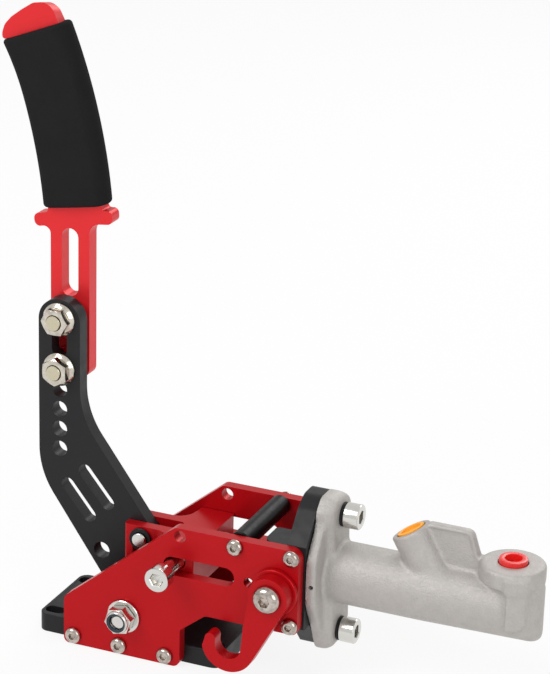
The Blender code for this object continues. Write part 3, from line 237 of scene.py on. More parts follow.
def solid(made, tool, operation="DIFFERENCE"):
    boolean = made.modifiers.new("cut", "BOOLEAN")
    boolean.operation = operation
    boolean.solver = "EXACT"
    boolean.object = tool
    bake(made)
    bpy.data.objects.remove(tool)
    return made


def bake(made):
    bpy.context.view_layer.update()
    mesh = bpy.data.meshes.new_from_object(made.evaluated_get(bpy.context.evaluated_depsgraph_get()))
    made.modifiers.clear()
    made.data = mesh
    return made


def soften(made, width, segments=3, angle=32):
    """Rounds the edges. The rounded strips take the second material, which on most pieces is a lighter copy of the
    finish: a painted highlight along the edges.
    """
    bevel = made.modifiers.new("edge", "BEVEL")
    bevel.width = width
    bevel.segments = segments
    bevel.limit_method = "ANGLE"
    bevel.angle_limit = math.radians(angle)
    bevel.material = 1
    bevel.use_clamp_overlap = True
    return made


def join(name, *made):
    bm = bmesh.new()
    for each in made:
        bm.from_mesh(each.data)
        bpy.data.objects.remove(each)
    return filled(name, bm)


# Materials

def linear(r, g, b):
    return tuple(((c / 255 + 0.055) / 1.055) ** 2.4 if c > 10 else c / 255 / 12.92 for c in (r, g, b)) + (1,)


def material(name, colour, rough, metallic=0.0, spread=0.05, spread_size=9.0, grain=0.1, grain_size=0.25,
             rough_spread=0.06, coat=0.0, painted_reflection=None, specular=0.5):
    """A procedural finish: slow colour change, uneven roughness and fine grain, all placed in the part's own space.
    Where painted_reflection is given, the slow colour change runs from it, so it paints reflections in patches.
    """
    made = bpy.data.materials.new(name)
    made.use_nodes = True
    tree = made.node_tree
    shader = tree.nodes["Principled BSDF"]
    shader.inputs["Metallic"].default_value = metallic
    shader.inputs["Specular IOR Level"].default_value = specular
    shader.inputs["Coat Weight"].default_value = coat
    shader.inputs["Coat Roughness"].default_value = 0.12
    where = tree.nodes.new("ShaderNodeTexCoord")

    def noise(size, detail):
        found = tree.nodes.new("ShaderNodeTexNoise")
        found.inputs["Scale"].default_value = 1000 / size
        found.inputs["Detail"].default_value = detail
        tree.links.new(where.outputs["Object"], found.inputs["Vector"])
        return found.outputs["Fac"]

    slow = noise(spread_size, 3)
    blend = tree.nodes.new("ShaderNodeMix")
    blend.data_type = "RGBA"
    # The dark end is a random darker tone, or the painted_reflection colour where one is given.
    dark = painted_reflection or tuple(c * (1 - spread) for c in colour[:3]) + (1,)
    light = tuple(min(1, c * (1 + spread)) for c in colour[:3]) + (1,)
    blend.inputs["A"].default_value = dark
    blend.inputs["B"].default_value = light
    tree.links.new(slow, blend.inputs["Factor"])
    tree.links.new(blend.outputs["Result"], shader.inputs["Base Color"])
    spread_range = tree.nodes.new("ShaderNodeMapRange")
    spread_range.inputs["From Min"].default_value = 0.3
    spread_range.inputs["From Max"].default_value = 0.7
    spread_range.inputs["To Min"].default_value = rough - rough_spread
    spread_range.inputs["To Max"].default_value = rough + rough_spread
    tree.links.new(noise(spread_size * 0.3, 4), spread_range.inputs["Value"])
    tree.links.new(spread_range.outputs["Result"], shader.inputs["Roughness"])
    bump = tree.nodes.new("ShaderNodeBump")
    bump.inputs["Strength"].default_value = grain
    bump.inputs["Distance"].default_value = grain_size * 0.001
    tree.links.new(noise(grain_size, 2), bump.inputs["Height"])
    tree.links.new(bump.outputs["Normal"], shader.inputs["Normal"])
    return made


RED = material("red_anodised", linear(179, 11, 20), 0.32, 0.3, 0.04, 25, 0.05, 0.12, 0.04, specular=0.2)
# Lighter copy of the red finish for the rounded edges: a painted highlight, where the edges catch the light.
RED_EDGE_HIGHLIGHT = material("red_anodised_edge_highlight", linear(204, 34, 42), 0.3, 0.5, 0.08, 6, 0.05, 0.12, 0.05, specular=0.3)
BLADE = material("red_anodised_blade", linear(217, 40, 45), 0.34, 0.3, 0.04, 30, 0.04, 0.12, 0.05, specular=0.3)
# Lighter copy of the blade's red for its rounded edges: a painted highlight along the edges.
BLADE_EDGE_HIGHLIGHT = material("red_anodised_blade_edge_highlight", linear(214, 62, 68), 0.3, 0.4, 0.06, 6, 0.05, 0.12, 0.05,
                      coat=0.2)
BLACK = material("black_anodised", linear(30, 30, 32), 0.42, 0.0, 0.1, 18, 0.08, 0.1, 0.06, specular=0.22)
# Lighter copy of the black finish for the rounded edges: a painted highlight along the edges.
BLACK_EDGE_HIGHLIGHT = material("black_anodised_edge_highlight", linear(50, 51, 54), 0.36, 0.4, 0.12, 5, 0.08, 0.1, 0.06)
# Darker copy of the black finish for the cross bar: painted shade, for the bar sitting in shadow between the side
# plates.
BLACK_BAR_PAINTED_SHADE = material("black_anodised_bar_painted_shade", linear(14, 14, 15), 0.34, 0.0, 0.1, 12, 0.06, 0.1, 0.06,
                     specular=0.12)
STEEL = material("zinc_steel", linear(214, 212, 207), 0.17, 1.0, 0.05, 3, 0.05, 0.08, 0.05)
# Plated steel whose second, darker colour paints reflections: patches of it stand in for dark surroundings mirrored in
# the metal.
NICKEL = material("nickel_plate_painted_reflection", linear(228, 218, 208), 0.12, 1.0, 0.05, 2.4, 0.03, 0.08, 0.04,
                  painted_reflection=linear(92, 80, 74))
# Nickel for the handle's nuts; its second, darker colour likewise paints reflections in patches.
NUT = material("nickel_nut_painted_reflection", linear(232, 226, 214), 0.15, 1.0, 0.05, 2.4, 0.03, 0.08, 0.04,
               painted_reflection=linear(158, 148, 136))
YELLOW_ZINC = material("yellow_zinc", linear(204, 196, 170), 0.26, 1.0, 0.06, 2.0, 0.06, 0.08, 0.05)
DULL = material("spring_steel", linear(150, 150, 154), 0.3, 1.0, 0.05, 3, 0.1, 0.1)
# Black oxide for the clevis clips and the snap ring; on the casting the same dark colour is painted shade, in the ring
# under each flange bolt's head.
BLACK_OXIDE_AND_PAINTED_SHADE = material("black_oxide", linear(34, 34, 37), 0.42, 0.6, 0.12, 3, 0.1, 0.1)
BRONZE = material("sintered_bronze", linear(150, 112, 62), 0.45, 1.0, 0.12, 1.5, 0.2, 0.1)
FOAM = material("closed_cell_foam", linear(31, 31, 32), 0.9, 0.0, 0.1, 14, 0.35, 0.22, 0.05, specular=0.08)
CAST = material("cast_aluminium", linear(182, 178, 174), 0.6, 0.6, 0.1, 5, 0.45, 0.8, 0.08)
MACHINED = material("machined_aluminium", linear(214, 213, 211), 0.3, 0.9, 0.03, 4, 0.12, 0.1, 0.06)
SEAL = material("seal_rubber", linear(28, 28, 28), 0.6, 0.0, 0.1, 4, 0.1, 0.1)
NYLON = material("nylon", linear(30, 50, 60), 0.5, 0.0, 0.05, 4, 0.08, 0.1)
ORANGE = material("orange_plastic", linear(247, 168, 38), 0.42, 0.0, 0.05, 5, 0.12, 0.15, 0.05)
PLUG_RED = material("red_plastic", linear(226, 34, 30), 0.28, 0.0, 0.05, 5, 0.06, 0.15, 0.05, coat=0.3)


def place(made, body, finish, slot, *replaced, edge=None, smooth=34):
    """Brings a finished piece to metres, gives it its materials, ties it to its body and hides the CAD nodes that it
    replaces.

    The second material, edge, is for the rounded edges and other faces that are marked for it. On most pieces it is a
    lighter copy of the finish, a painted highlight along the edges; on the casting it is a dark colour, painted shade
    in the ring under each flange bolt's head.
    """
    bake(made)
    made.data.transform(Matrix.Scale(0.001, 4))
    for each in (finish, edge or finish):
        made.data.materials.append(each)
    made.data.shade_smooth()
    made.data.set_sharp_from_angle(angle=math.radians(smooth))
    weighted = made.modifiers.new("normals", "WEIGHTED_NORMAL")
    weighted.keep_sharp = True
    weighted.weight = 80
    bake(made)
    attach(made, body)
    if replaced:
        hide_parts(*replaced)
    return made


# Frame

def side_plates():
    outline = rounded([(-34.6, 0, 3), (31.2, 0, 4), (31.2, 21, 2), (45, 32, 4), (95, 32, 3), (95, TOP, 5.5),
                       (27.9, TOP, 4.5), (-34.6, 26, 6)])
    for side, low in (("near", -PLATE_OUT), ("far", PLATE_IN)):
        holes = [circle((x, z), TAPPED) for _, x, z in SCREWS]
        holes += [circle((30.6, 73.0), 3.2), circle((68.3, 55.5), 2.6), circle((0, PIVOT), HOLE)]
        holes.append(capsule((26.5, PULL), (55.5, PULL), 5))
        if side == "near":
            holes.append(circle(HOOK, HOLE))
        made = soften(slab(f"plate_{side}", outline, holes, low, low + 6), 0.45)
        place(made, "frame", RED, "red_anodised", f"side_plate_{side}", edge=RED_EDGE_HIGHLIGHT)


def tap_sides(made, x, z):
    """A blind hole for an M5 screw in the near and the far side."""
    for side, way in ((-1, NEAR), (1, FAR)):
        solid(made, drill("drill", -9.3, 1, TAPPED, Vector((x, side * INSERT, z)), way, 32))


def base():
    outline = rounded([(-53, -INSERT, 5), (52, -INSERT, 7), (52, INSERT, 7), (-53, INSERT, 5)])
    slots = [capsule((x - 2, y), (x + 2, y), 3.5) for x in (-46, 45) for y in (-19, 19)]
    made = slab("base_bar", outline, slots, 0, 10, "z")
    for x in BASE_SCREWS_X:
        tap_sides(made, x, 5)
    place(soften(made, 0.4), "frame", BLACK, "black_anodised", "base_plate", edge=BLACK_EDGE_HIGHLIGHT)


def cross_bar():
    bottom, chamfer = 16.4, 25.1
    profile = [(-bottom, TAPPED), (-INSERT, TAPPED), (-INSERT, 4.9), (-chamfer, 5.5), (chamfer, 5.5), (INSERT, 4.9),
               (INSERT, TAPPED), (bottom, TAPPED)]
    made = turned("cross_bar", profile, Vector((BAR_X, 0, SCREW_Z)), NEAR, 64)
    # The darker black paints the bar's shade.
    place(made, "frame", BLACK_BAR_PAINTED_SHADE, "black_anodised", "cross_spacer")


def bracket():
    half = [(5.46, 41.2, 9), (13, 36.4, 9), (INSERT, 21.4, 1), (INSERT, -24, 1), (18.25, -24, 2), (4, -41.2, 4)]
    outline = [(u, v + PULL) for u, v in rounded(mirrored(half))]
    holes = [circle((0, PULL), 9.5), circle((0, PULL + BOLT_RISE), HOLE), circle((0, PULL - BOLT_RISE), HOLE)]
    made = slab("bracket", outline, holes, 86, 96, "x")
    lug = rounded([(73, -INSERT, 6), (87, -INSERT, 0), (87, -7.7, 0), (73, -7.7, 2)])
    solid(made, slab("lug", lug, [], 45, TOP - GAP, "z"), "UNION")
    for z in (SCREW_Z, LOWER_SCREW_Z):
        tap_sides(made, BRACKET_X, z)
    solid(made, drill("drill", -15.3, 1, HOLE, Vector((HOOK[0], -INSERT, HOOK[1])), NEAR, 32))
    place(soften(made, 0.6), "frame", BLACK, "black_anodised", "cylinder_bracket", edge=BLACK_EDGE_HIGHLIGHT)


def dome(radius, height, socket, seat_at, way, name, shank):
    """Domed head with a hexagon socket on a plain shank."""
    flat = radius * 0.46
    rise = [(height * (0.18 + 0.82 * math.sin(math.radians(a))), flat + (radius - flat) * math.cos(math.radians(a)))
            for a in (0, 10, 22, 36, 50, 64, 76, 90)]
    sections = [(-shank, socket * 0.8), (0, socket * 0.8), (0, radius - 0.25), (0.1, radius), *rise]
    sections += [(height - 0.12, ("hex", socket + 0.25)), (height - 0.4, ("hex", socket)),
                 (height * 0.22, ("hex", socket)), (height * 0.1, 0.3)]
    return turned(name, sections, seat_at, way, 60)


def plate_screws():
    for side, way in (("near", NEAR), ("far", FAR)):
        for name, x, z in SCREWS:
            seat = Vector((x, 0, z)) + way * (PLATE_OUT + GAP)
            made = dome(4.3, 2.5, 3.0, seat, way, f"{name}_head_{side}", 14.5)
            place(made, "frame", NICKEL, "zinc_steel", f"{name}_{side}")


def cap_screw(name, at, way, length, plain=0.4):
    """M8 cylinder head with rounded rim and a chamfered hexagon socket, on a threaded shank."""
    profile = [(0.02, 5.9), (0.3, 6.4), (0.6, 6.5), (7.3, 6.5), (7.75, 6.25), (8.0, 5.75), (8.0, ("hex", 6.7)),
               (7.55, ("hex", 6.0)), (4.0, ("hex", 6.0)), (3.4, 0.6)]
    head = turned(name, profile, at, way, 72)
    tail = [(-plain + 0.1, THREAD), (0.02, THREAD)]
    shank = threaded(name + "_shank", -length, -plain, THREAD, PITCH, at, way, tail)
    return join(name, head, shank)


def hex_solid(name, flats, low, high, at, way, spin=0.0, bore=None, sides=(True, True)):
    """A hexagon whose corners are cut by a cone at either end, as on real nuts and bolt heads."""
    place_at = frame_at(at, way) @ Matrix.Rotation(math.radians(spin), 4, "Z")
    reach = flats / math.sqrt(3) + 0.05
    body = slab(name, hexagon(flats), [circle((0, 0), bore)] if bore else [], low, high, "z")
    face = flats * 0.5
    fall = (reach - face) * 0.6
    cone = [(low - 1, face), (low, face), (low + fall, reach)] if sides[0] else [(low - 1, reach)]
    cone += [(high - fall, reach), (high, face), (high + 1, face)] if sides[1] else [(high + 1, reach)]
    solid(body, turned("cone", cone, Vector((0, 0, 0)), UP, 72), "INTERSECT")
    body.data.transform(place_at)
    return body


def pivot():
    over = PLATE_OUT + GAP + 1.5 + GAP
    for side, way in (("near", NEAR), ("far", FAR)):
        seat = Vector((0, 0, PIVOT)) + way * (PLATE_OUT + GAP)
        profile = [(0, HOLE), (0, 8.7), (0.2, 8.9), (1.2, 8.9), (1.5, 8.55), (1.5, HOLE + 0.25), (1.3, HOLE)]
        made = turned(f"washer_{side}", profile, seat, way, 72, True)
        place(made, "frame", STEEL, "zinc_steel", f"pivot_washer_{side}")
    near = Vector((0, -over, PIVOT))
    nut = hex_solid("pivot_nut_body", FLATS, 0, 5.8, near, NEAR, spin=-18, bore=HOLE, sides=(True, False))
    profile = [(5.7, HOLE + 1.1), (5.7, 6.2), (6.4, 6.15), (7.3, 5.8), (7.8, 5.2), (7.8, HOLE + 1.1)]
    collar = turned("collar", profile, near, NEAR, 60, True)
    place(join("pivot_nut_body", nut, collar), "frame", STEEL, "zinc_steel", "pivot_nut")
    far = Vector((0, over, PIVOT))
    head = soften(hex_solid("pivot_bolt_body", FLATS, 0, 5.3, far, FAR, sides=(False, True)), 0.12, 2)
    bake(head)
    shank = threaded("shank", -(2 * over + 6.0), -60, THREAD, PITCH, far, FAR, [(-59, THREAD), (0.1, THREAD)])
    place(join("pivot_bolt_body", head, shank), "frame", STEEL, "zinc_steel", "pivot_bolt")


# Lever

def arm():
    left, right, bottom = HANDLE - 11.8, HANDLE + 11.8, PIVOT - 11.8
    outline = rounded([(left, 176.3, 11.8), (left, 80.3, 44), (-14.2, bottom, 8), (11.8, bottom, 11.4), (11.8, 46.0, 6),
                       (right, 115.0, 44), (right, 176.3, 11.8)])
    holes = [circle((HANDLE, LOWER_BOLT - n * 11), HOLE) for n in range(5)]
    holes.append(capsule((HANDLE, 149.5), (HANDLE, UPPER_BOLT), HOLE))
    for a, b in (((-36.8, 84.6), (-23.7, 69.0)), ((-46.7, 75.3), (-34.2, 60.2))):
        holes.append(capsule(a, b, 3.7))
    holes += [circle((-27, 41.8), 4.5), circle((CLEVIS_X, PULL), HOLE), circle((0, PIVOT), 6.1)]
    made = soften(slab("arm", outline, holes, -4, 4), 0.5)
    place(made, "lever", BLACK, "black_anodised", "lever_arm", edge=BLACK_EDGE_HIGHLIGHT)


def clevis():
    at = Vector((CLEVIS_X, 0, PULL))
    end = 13.1
    profile = [(-end, 3.3), (-end + 0.25, 3.75), (-end + 0.7, 4), (end - 0.7, 4), (end - 0.25, 3.75), (end, 3.3)]
    made = turned("pin", profile, at, NEAR, 48)
    place(made, "lever", STEEL, "zinc_steel", "clevis_pin")
    for side, way in (("near", NEAR), ("far", FAR)):
        profile = [(10.3, HOLE), (10.3, 5.9), (10.5, 6.1), (11.3, 6.1), (11.5, 5.9), (11.5, HOLE)]
        made = turned(f"clip_{side}", profile, at, way, 48, True)
        place(made, "lever", BLACK_OXIDE_AND_PAINTED_SHADE, "black_oxide_steel", f"clevis_clip_{side}")


def grip_point(along, across):
    """X and Z of a point that lies this far up the grip's bent middle line and this far to its side."""
    share = min(1, max(0, along / CORE_LENGTH))
    start = math.radians(6)
    lean = start + along / GRIP_BEND
    tilt = math.radians(9.5 + 12 * share)
    x = HANDLE + 2.3 - GRIP_BEND * (math.cos(start) - math.cos(lean))
    z = 225.0 + GRIP_BEND * (math.sin(lean) - math.sin(start))
    return x + across * math.cos(tilt), z + across * math.sin(tilt)


def blade():
    """Flat bar with its guard's two ears, the core inside the foam and the head above it."""
    left, right, core, guard, shift = HANDLE - 11, HANDLE + 11, 15.2, 22.3, -1.4
    inside = [CORE_LENGTH * n / 6 for n in range(1, 6)]
    top, neck, ears, under = 88.8, -2.7, -5.6, -12.5

    def corner(along, across, radius):
        return *grip_point(along, across), radius

    points = [(left, 131, 5), (right, 131, 5), (right, grip_point(under, 11)[1], 6)]
    points += [corner(under, guard + shift, 3), corner(ears, guard + shift, 2.8)]
    points += [corner(neck - 2.4, core + 0.7, 2.5), corner(neck, core, 0)]
    points += [corner(a, core, 0) for a in inside]
    head = [(14.4, 0), (14.5, 2.3), (14.4, 7.4), (11.6, 11.7), (5.2, 13.1), (-2.2, 11.6), (-9.3, 9.7), (-14.6, 7.1),
            (-18.0, 3.2), (-18.7, 0)]
    points += [corner(top + rise, across, 6) for across, rise in head]
    points += [corner(a, -core, 0) for a in reversed([*inside, top])]
    points += [corner(neck, -core, 0), corner(neck - 2.4, -core - 0.7, 2.5)]
    points += [corner(ears, shift - guard, 2.8), corner(under, shift - guard, 3)]
    points.append((left, grip_point(under, -11)[1], 6))
    holes = [capsule((HANDLE, 179), (HANDLE, 205.9), 4.7), circle((HANDLE, UPPER_BOLT), HOLE)]
    holes.append(circle((HANDLE, LOWER_BOLT), HOLE))
    made = slab("blade", rounded(points), holes, 8, 16)
    far_face, slope_start, slope_length, slope_fall = 15, 313, 7, 1.6
    for v in made.data.vertices:
        if v.co.y > far_face:
            v.co.z -= slope_fall * min(1, max(0, (v.co.z - slope_start) / slope_length))
    place(soften(made, 0.55), "lever", BLADE, "red_anodised", "handle_blade", edge=BLADE_EDGE_HIGHLIGHT)


def grip():
    """Foam sleeve: a flat oval with soft rims, a little fuller at its middle, round the blade's core."""
    count, steps, inner_steps = 96, 44, 12
    half_x, half_y = 18.7, 8.3
    core_x, core_y = 15.5, 4.3
    edge = 2.0
    flare_by, flare_start, flare_length = 1.6, 58, 30

    def oval(hx, hy, along):
        ring = []
        for n in range(count):
            a = 2 * math.pi * (n + 0.5) / count
            c, s = math.cos(a), math.sin(a)
            x = math.copysign(hx - hy, c) * min(1, abs(c) * 2.5) + hy * c
            flare = flare_by * min(1, max(0, (along - flare_start) / flare_length)) ** 2
            u, w = grip_point(along, x - flare * (1 - x / hx) / 2)
            ring.append((u, GRIP_Y + hy * s, w))
        return ring

    low, high = -2.4, 88.6
    rings = []
    turns = [math.radians(a) for a in (0, 18, 36, 54, 72, 90)]
    rim = [(edge * (1 - math.cos(a)), edge * (1 - math.sin(a))) for a in turns]
    for rise, inset in rim:
        rings.append(oval(half_x - inset, half_y - inset, low + rise))
    for n in range(1, steps):
        along = low + 2 + (high - low - 4) * n / steps
        full = 0.12 * math.sin(math.pi * n / steps)
        rings.append(oval(half_x + full * 0.3, half_y + full, along))
    for rise, inset in reversed(rim):
        rings.append(oval(half_x - inset, half_y - inset, high - rise))
    for n in range(inner_steps, -1, -1):
        inner = []
        for k in range(count):
            a = 2 * math.pi * (k + 0.5) / count
            c, s = math.cos(a), math.sin(a)
            reach = min(core_x / max(abs(c), 1e-6), core_y / max(abs(s), 1e-6))
            u, w = grip_point(low + (high - low) * n / inner_steps, c * reach)
            inner.append((u, GRIP_Y + s * reach, w))
        rings.append(inner)
    made = place(skin("grip_sleeve", rings, closed=True), "lever", FOAM, "foam", "foam_grip", smooth=50)


def clamp_bolts():
    for name, z in (("upper", UPPER_BOLT), ("lower", LOWER_BOLT)):
        profile = [(4.3, HOLE), (4.3, 8.7), (4.5, 8.9), (7.5, 8.9), (7.7, 8.7), (7.7, HOLE)]
        spacer = turned(f"spacer_{name}", profile, Vector((HANDLE, 0, z)), FAR, 64, True)
        place(spacer, "lever", RED, "red_anodised", f"handle_spacer_{name}")
        near = Vector((HANDLE, -4.3, z))
        spin = 30 if name == "upper" else 0
        nut = hex_solid(f"nut_{name}", FLATS, 1.2, 6.1, near, NEAR, spin=spin, bore=HOLE, sides=(False, True))
        profile = [(0, HOLE), (0, 8.8), (0.35, 8.9), (0.9, 8.7), (2.2, 7.1), (2.4, HOLE)]
        flange = turned("flange", profile, near, NEAR, 64, True)
        place(join(f"nut_{name}", nut, flange), "lever", NUT, "zinc_steel", f"handle_nut_{name}")
        far = Vector((HANDLE, 16.3, z))
        head = hex_solid(f"bolt_{name}", FLATS, 1.2, 7.2, far, FAR, sides=(False, True))
        flange = turned("flange", [(0.02, 8.8), (0.35, 8.9), (0.9, 8.7), (2.2, 7.1), (2.4, 6.0)], far, FAR, 64)
        end = -(16.3 + 4.3 + 6.2 + 0.8)
        shank = threaded("shank", end, -18, THREAD, PITCH, far, FAR, [(-17, THREAD), (0.1, THREAD)])
        tip = turned("tip", [(-27.75, 3.2), (-27.65, 3.7), (-27.3, 3.95), (-22, 3.95)], far, FAR, 48)
        bolt = join(f"bolt_{name}", head, flange, shank, tip)
        place(bolt, "lever", YELLOW_ZINC, "zinc_steel", f"handle_bolt_{name}")


# Yoke, push rod and hook

def slider():
    wide, inner, outer = 25.5, 4.3, 10.0
    outline = rounded([(35, -wide, 1), (35, wide, 1), (16.7, wide, 1), (14.8, outer, 9.5), (-11, outer, 1.5),
                       (-11, inner, 0), (17, inner, 2.6), (17, -inner, 2.6), (-11, -inner, 0), (-11, -outer, 1.5),
                       (14.8, -outer, 9.5), (16.7, -wide, 1)])
    made = slab("crosshead", outline, [], 40.4, 63.0, "z")
    pull = math.radians(45)
    low = PIVOT + 33.6 * math.cos(pull) - CLEVIS_X * math.sin(pull)  # the clevis pin's height when the lever is pulled
    solid(made, slab("slot", capsule((CLEVIS_X, low), (CLEVIS_X, PULL + GAP), 4.75), [], -12, 12))
    solid(made, drill("drill", 0, 18, HOLE, Vector((22.7, 0, PULL)), EAST, 40))
    solid(made, drill("drill", -14, 5, HOLE, Vector((LOCK_X, -wide, PULL)), NEAR, 40))
    place(soften(made, 0.6), "slider", RED, "red_anodised", "yoke", edge=RED_EDGE_HIGHLIGHT)
    bolt = cap_screw("lock_screw", Vector((LOCK_X, -LOCK_SEAT, PULL)), NEAR, LOCK_SEAT - 12.75, 17)
    place(bolt, "slider", STEEL, "zinc_steel", "lock_bolt")
    tail = [(67, THREAD), (105, THREAD), (106.2, 3.2), (107, 1.6)]
    rod = threaded("rod", 23, 66, THREAD, PITCH, Vector((0, 0, PULL)), EAST, tail)
    place(rod, "slider", STEEL, "zinc_steel", "push_rod")
    nut = hex_solid("lock_nut", FLATS, 0, 6.5, Vector((35.3, 0, PULL)), EAST, bore=HOLE)
    place(nut, "slider", STEEL, "zinc_steel", "rod_lock_nut")


def hook():
    throat, opening, wall = Vector((-20.7, -30.5)), 7.0, 7.2
    points = arc((0, 0), 10.5, math.radians(-28), math.radians(195))
    points.append((throat.x + opening * 1.15, throat.y + 13))
    points += arc(throat, opening, 0, -math.pi)
    points += arc((throat.x - opening - wall * 0.38, throat.y + 5.4 - wall * 0.45), wall * 0.4, 0, math.pi)
    points += arc(throat, opening + wall, math.radians(190), math.radians(330))
    outline = [(HOOK[0] + u, HOOK[1] + v) for u, v in points]
    made = slab("latch", outline, [circle(HOOK, HOLE)], -HOOK_OUT, -HOOK_IN)
    place(soften(made, 0.5), "hook", RED, "red_anodised", "lock_hook", edge=RED_EDGE_HIGHLIGHT)
    profile = [(0.3, HOLE), (0.3, 11.9), (0.6, 12.2), (2.7, 12.2), (3.0, 11.9), (3.0, HOLE)]
    spacer = turned("hook_boss", profile, Vector((HOOK[0], -PLATE_OUT, HOOK[1])), NEAR, 72, True)
    place(spacer, "frame", RED, "red_anodised", "hook_spacer")
    screw = dome(7.2, 4.5, 5.0, Vector((HOOK[0], -HOOK_OUT - GAP, HOOK[1])), NEAR, "hook_screw_head", 31)
    place(screw, "frame", NICKEL, "zinc_steel", "hook_screw")


# Master cylinder, as a smooth distance field that is skinned, pulled onto its surface and then drilled

def polygon_distance(u, v, points):
    best, inside = None, None
    for (ax, ay), (bx, by) in zip(points, points[1:] + points[:1]):
        ex, ey = bx - ax, by - ay
        pu, pv = u - ax, v - ay
        t = np.clip((pu * ex + pv * ey) / (ex * ex + ey * ey), 0, 1)
        d = (pu - ex * t) ** 2 + (pv - ey * t) ** 2
        best = d if best is None else np.minimum(best, d)
        if ay != by:
            crossing = ((ay > v) != (by > v)) & (u < ex * (v - ay) / ey + ax)
            inside = crossing if inside is None else inside ^ crossing
    return np.where(inside, -1, 1) * np.sqrt(best)


def smin(a, b, k):
    h = np.clip(0.5 + 0.5 * (b - a) / k, 0, 1)
    return b * (1 - h) + a * h - k * h * (1 - h)


def smax(a, b, k):
    return -smin(-a, -b, k)


def coarse(points):
    """Drops points that lie close to the one before."""
    kept = [points[0]]
    for p in points[1:]:
        if math.dist(p, kept[-1]) > 0.7:
            kept.append(p)
    return kept


EARS = coarse(rounded([(3, 41.6, 8), (9.6, 38.2, 7), (13.2, 32.6, 5), (14.5, 20, 10), (17.5, 9, 10), (INSERT, -3, 10),
                       (INSERT, -9, 12), (8.75, -40.8, 7), (-8.75, -40.8, 7), (-INSERT, -9, 16), (-INSERT, 14, 14),
                       (-14.4, 30.5, 7), (-13.9, 36.6, 5), (-8.4, 41.7, 5)]))
RIBS = coarse(rounded([(14.4, 42.4, 5), (13, 20, 8), (16.2, -41.5, 9), (-12.8, -41.5, 8), (-12.8, 21, 8),
                       (-14.6, 31, 5), (-14.6, 43.4, 5)]))
WEB = coarse(rounded([(150, 56, 0), (178.4, 56, 0), (178.1, 77.8, 0), (173.4, 92.5, 4), (150, 92.5, 0)]))
PANEL = [(140, 60), (176.4, 60), (176.2, 77.6), (172.0, 89.6), (171.2, 90.5), (140, 90.5)]
PAD = coarse(rounded([(196.6, 50, 0.5), (206.2, 50, 7), (206.2, 76, 0), (196.6, 76, 0)]))


def casting(x, y, z):
    """Distance to the casting's surface, below zero inside it. smin and smax blend the forms with a fillet."""
    z0 = z - PULL
    round_x = np.sqrt(y * y + z0 * z0)
    round_z = np.sqrt((x - OUTLET_X) ** 2 + y * y)
    ears = polygon_distance(y, z0, EARS)
    flange = smax(np.maximum(ears, FLANGE0 - x), x - FLANGE0 - 5.0, 2.6)
    ribs = smax(polygon_distance(y, z0, RIBS) + (x - 98) * 0.25, ears, 1.0)
    ribs = smax(np.maximum(ribs, FLANGE0 + 1 - x), x - FLANGE1 + 1.3, 3.2)
    barrel = np.maximum(round_x - 15.8 + 0.9 * np.clip((x - 150) / 55, 0, 1), FLANGE0 + 2 - x)
    nose = np.where(x > OUTLET_X, round_z, np.abs(y) - np.maximum(0, OUTLET_X - x) * 0.6)
    nose = nose - 16.4 + np.clip(-y / 8, 0, 1) * (x > 185)
    barrel = smax(barrel, nose, 3.0)
    whole = smin(flange, ribs, 3.0)
    whole = smin(whole, barrel, 2.4)
    along = (x - INLET_X) * LEAN_X + z0 * LEAN_Z
    off = np.sqrt(np.maximum((x - INLET_X) ** 2 + y * y + z0 * z0 - along ** 2, 1e-9))
    inlet = smax(np.maximum(off - 10.3, -along), along - INLET_END, 0.9)
    panel = np.clip(0.5 - polygon_distance(x, z, PANEL) / 0.9, 0, 1)
    web = smax(polygon_distance(x, z, WEB), np.abs(y) - (2.5 + (92.5 - z) * 0.02 - 0.6 * panel), 1.4)
    upper = smin(inlet, web, 1.6)
    whole = smin(whole, upper, 2.6)
    head = smax(round_z - 16.4, np.maximum(z - 80, 70.5 - z), 2.4)
    neck = np.maximum(round_z - 12, np.maximum(-z0, z - 74))
    pad = smax(np.maximum(polygon_distance(x, z, PAD), y + 4), round_z - 16.6, 1.2)
    whole = smin(whole, smin(head, neck, 3.0), 2.0)
    whole = smin(whole, pad, 0.7 + 2.6 * np.clip((z - 65) / 5, 0, 1))
    mouth = np.where((x > 125) & (x < 170), along - INLET_END, -99.0)
    return np.maximum(np.maximum(whole, FLANGE0 - x), mouth)


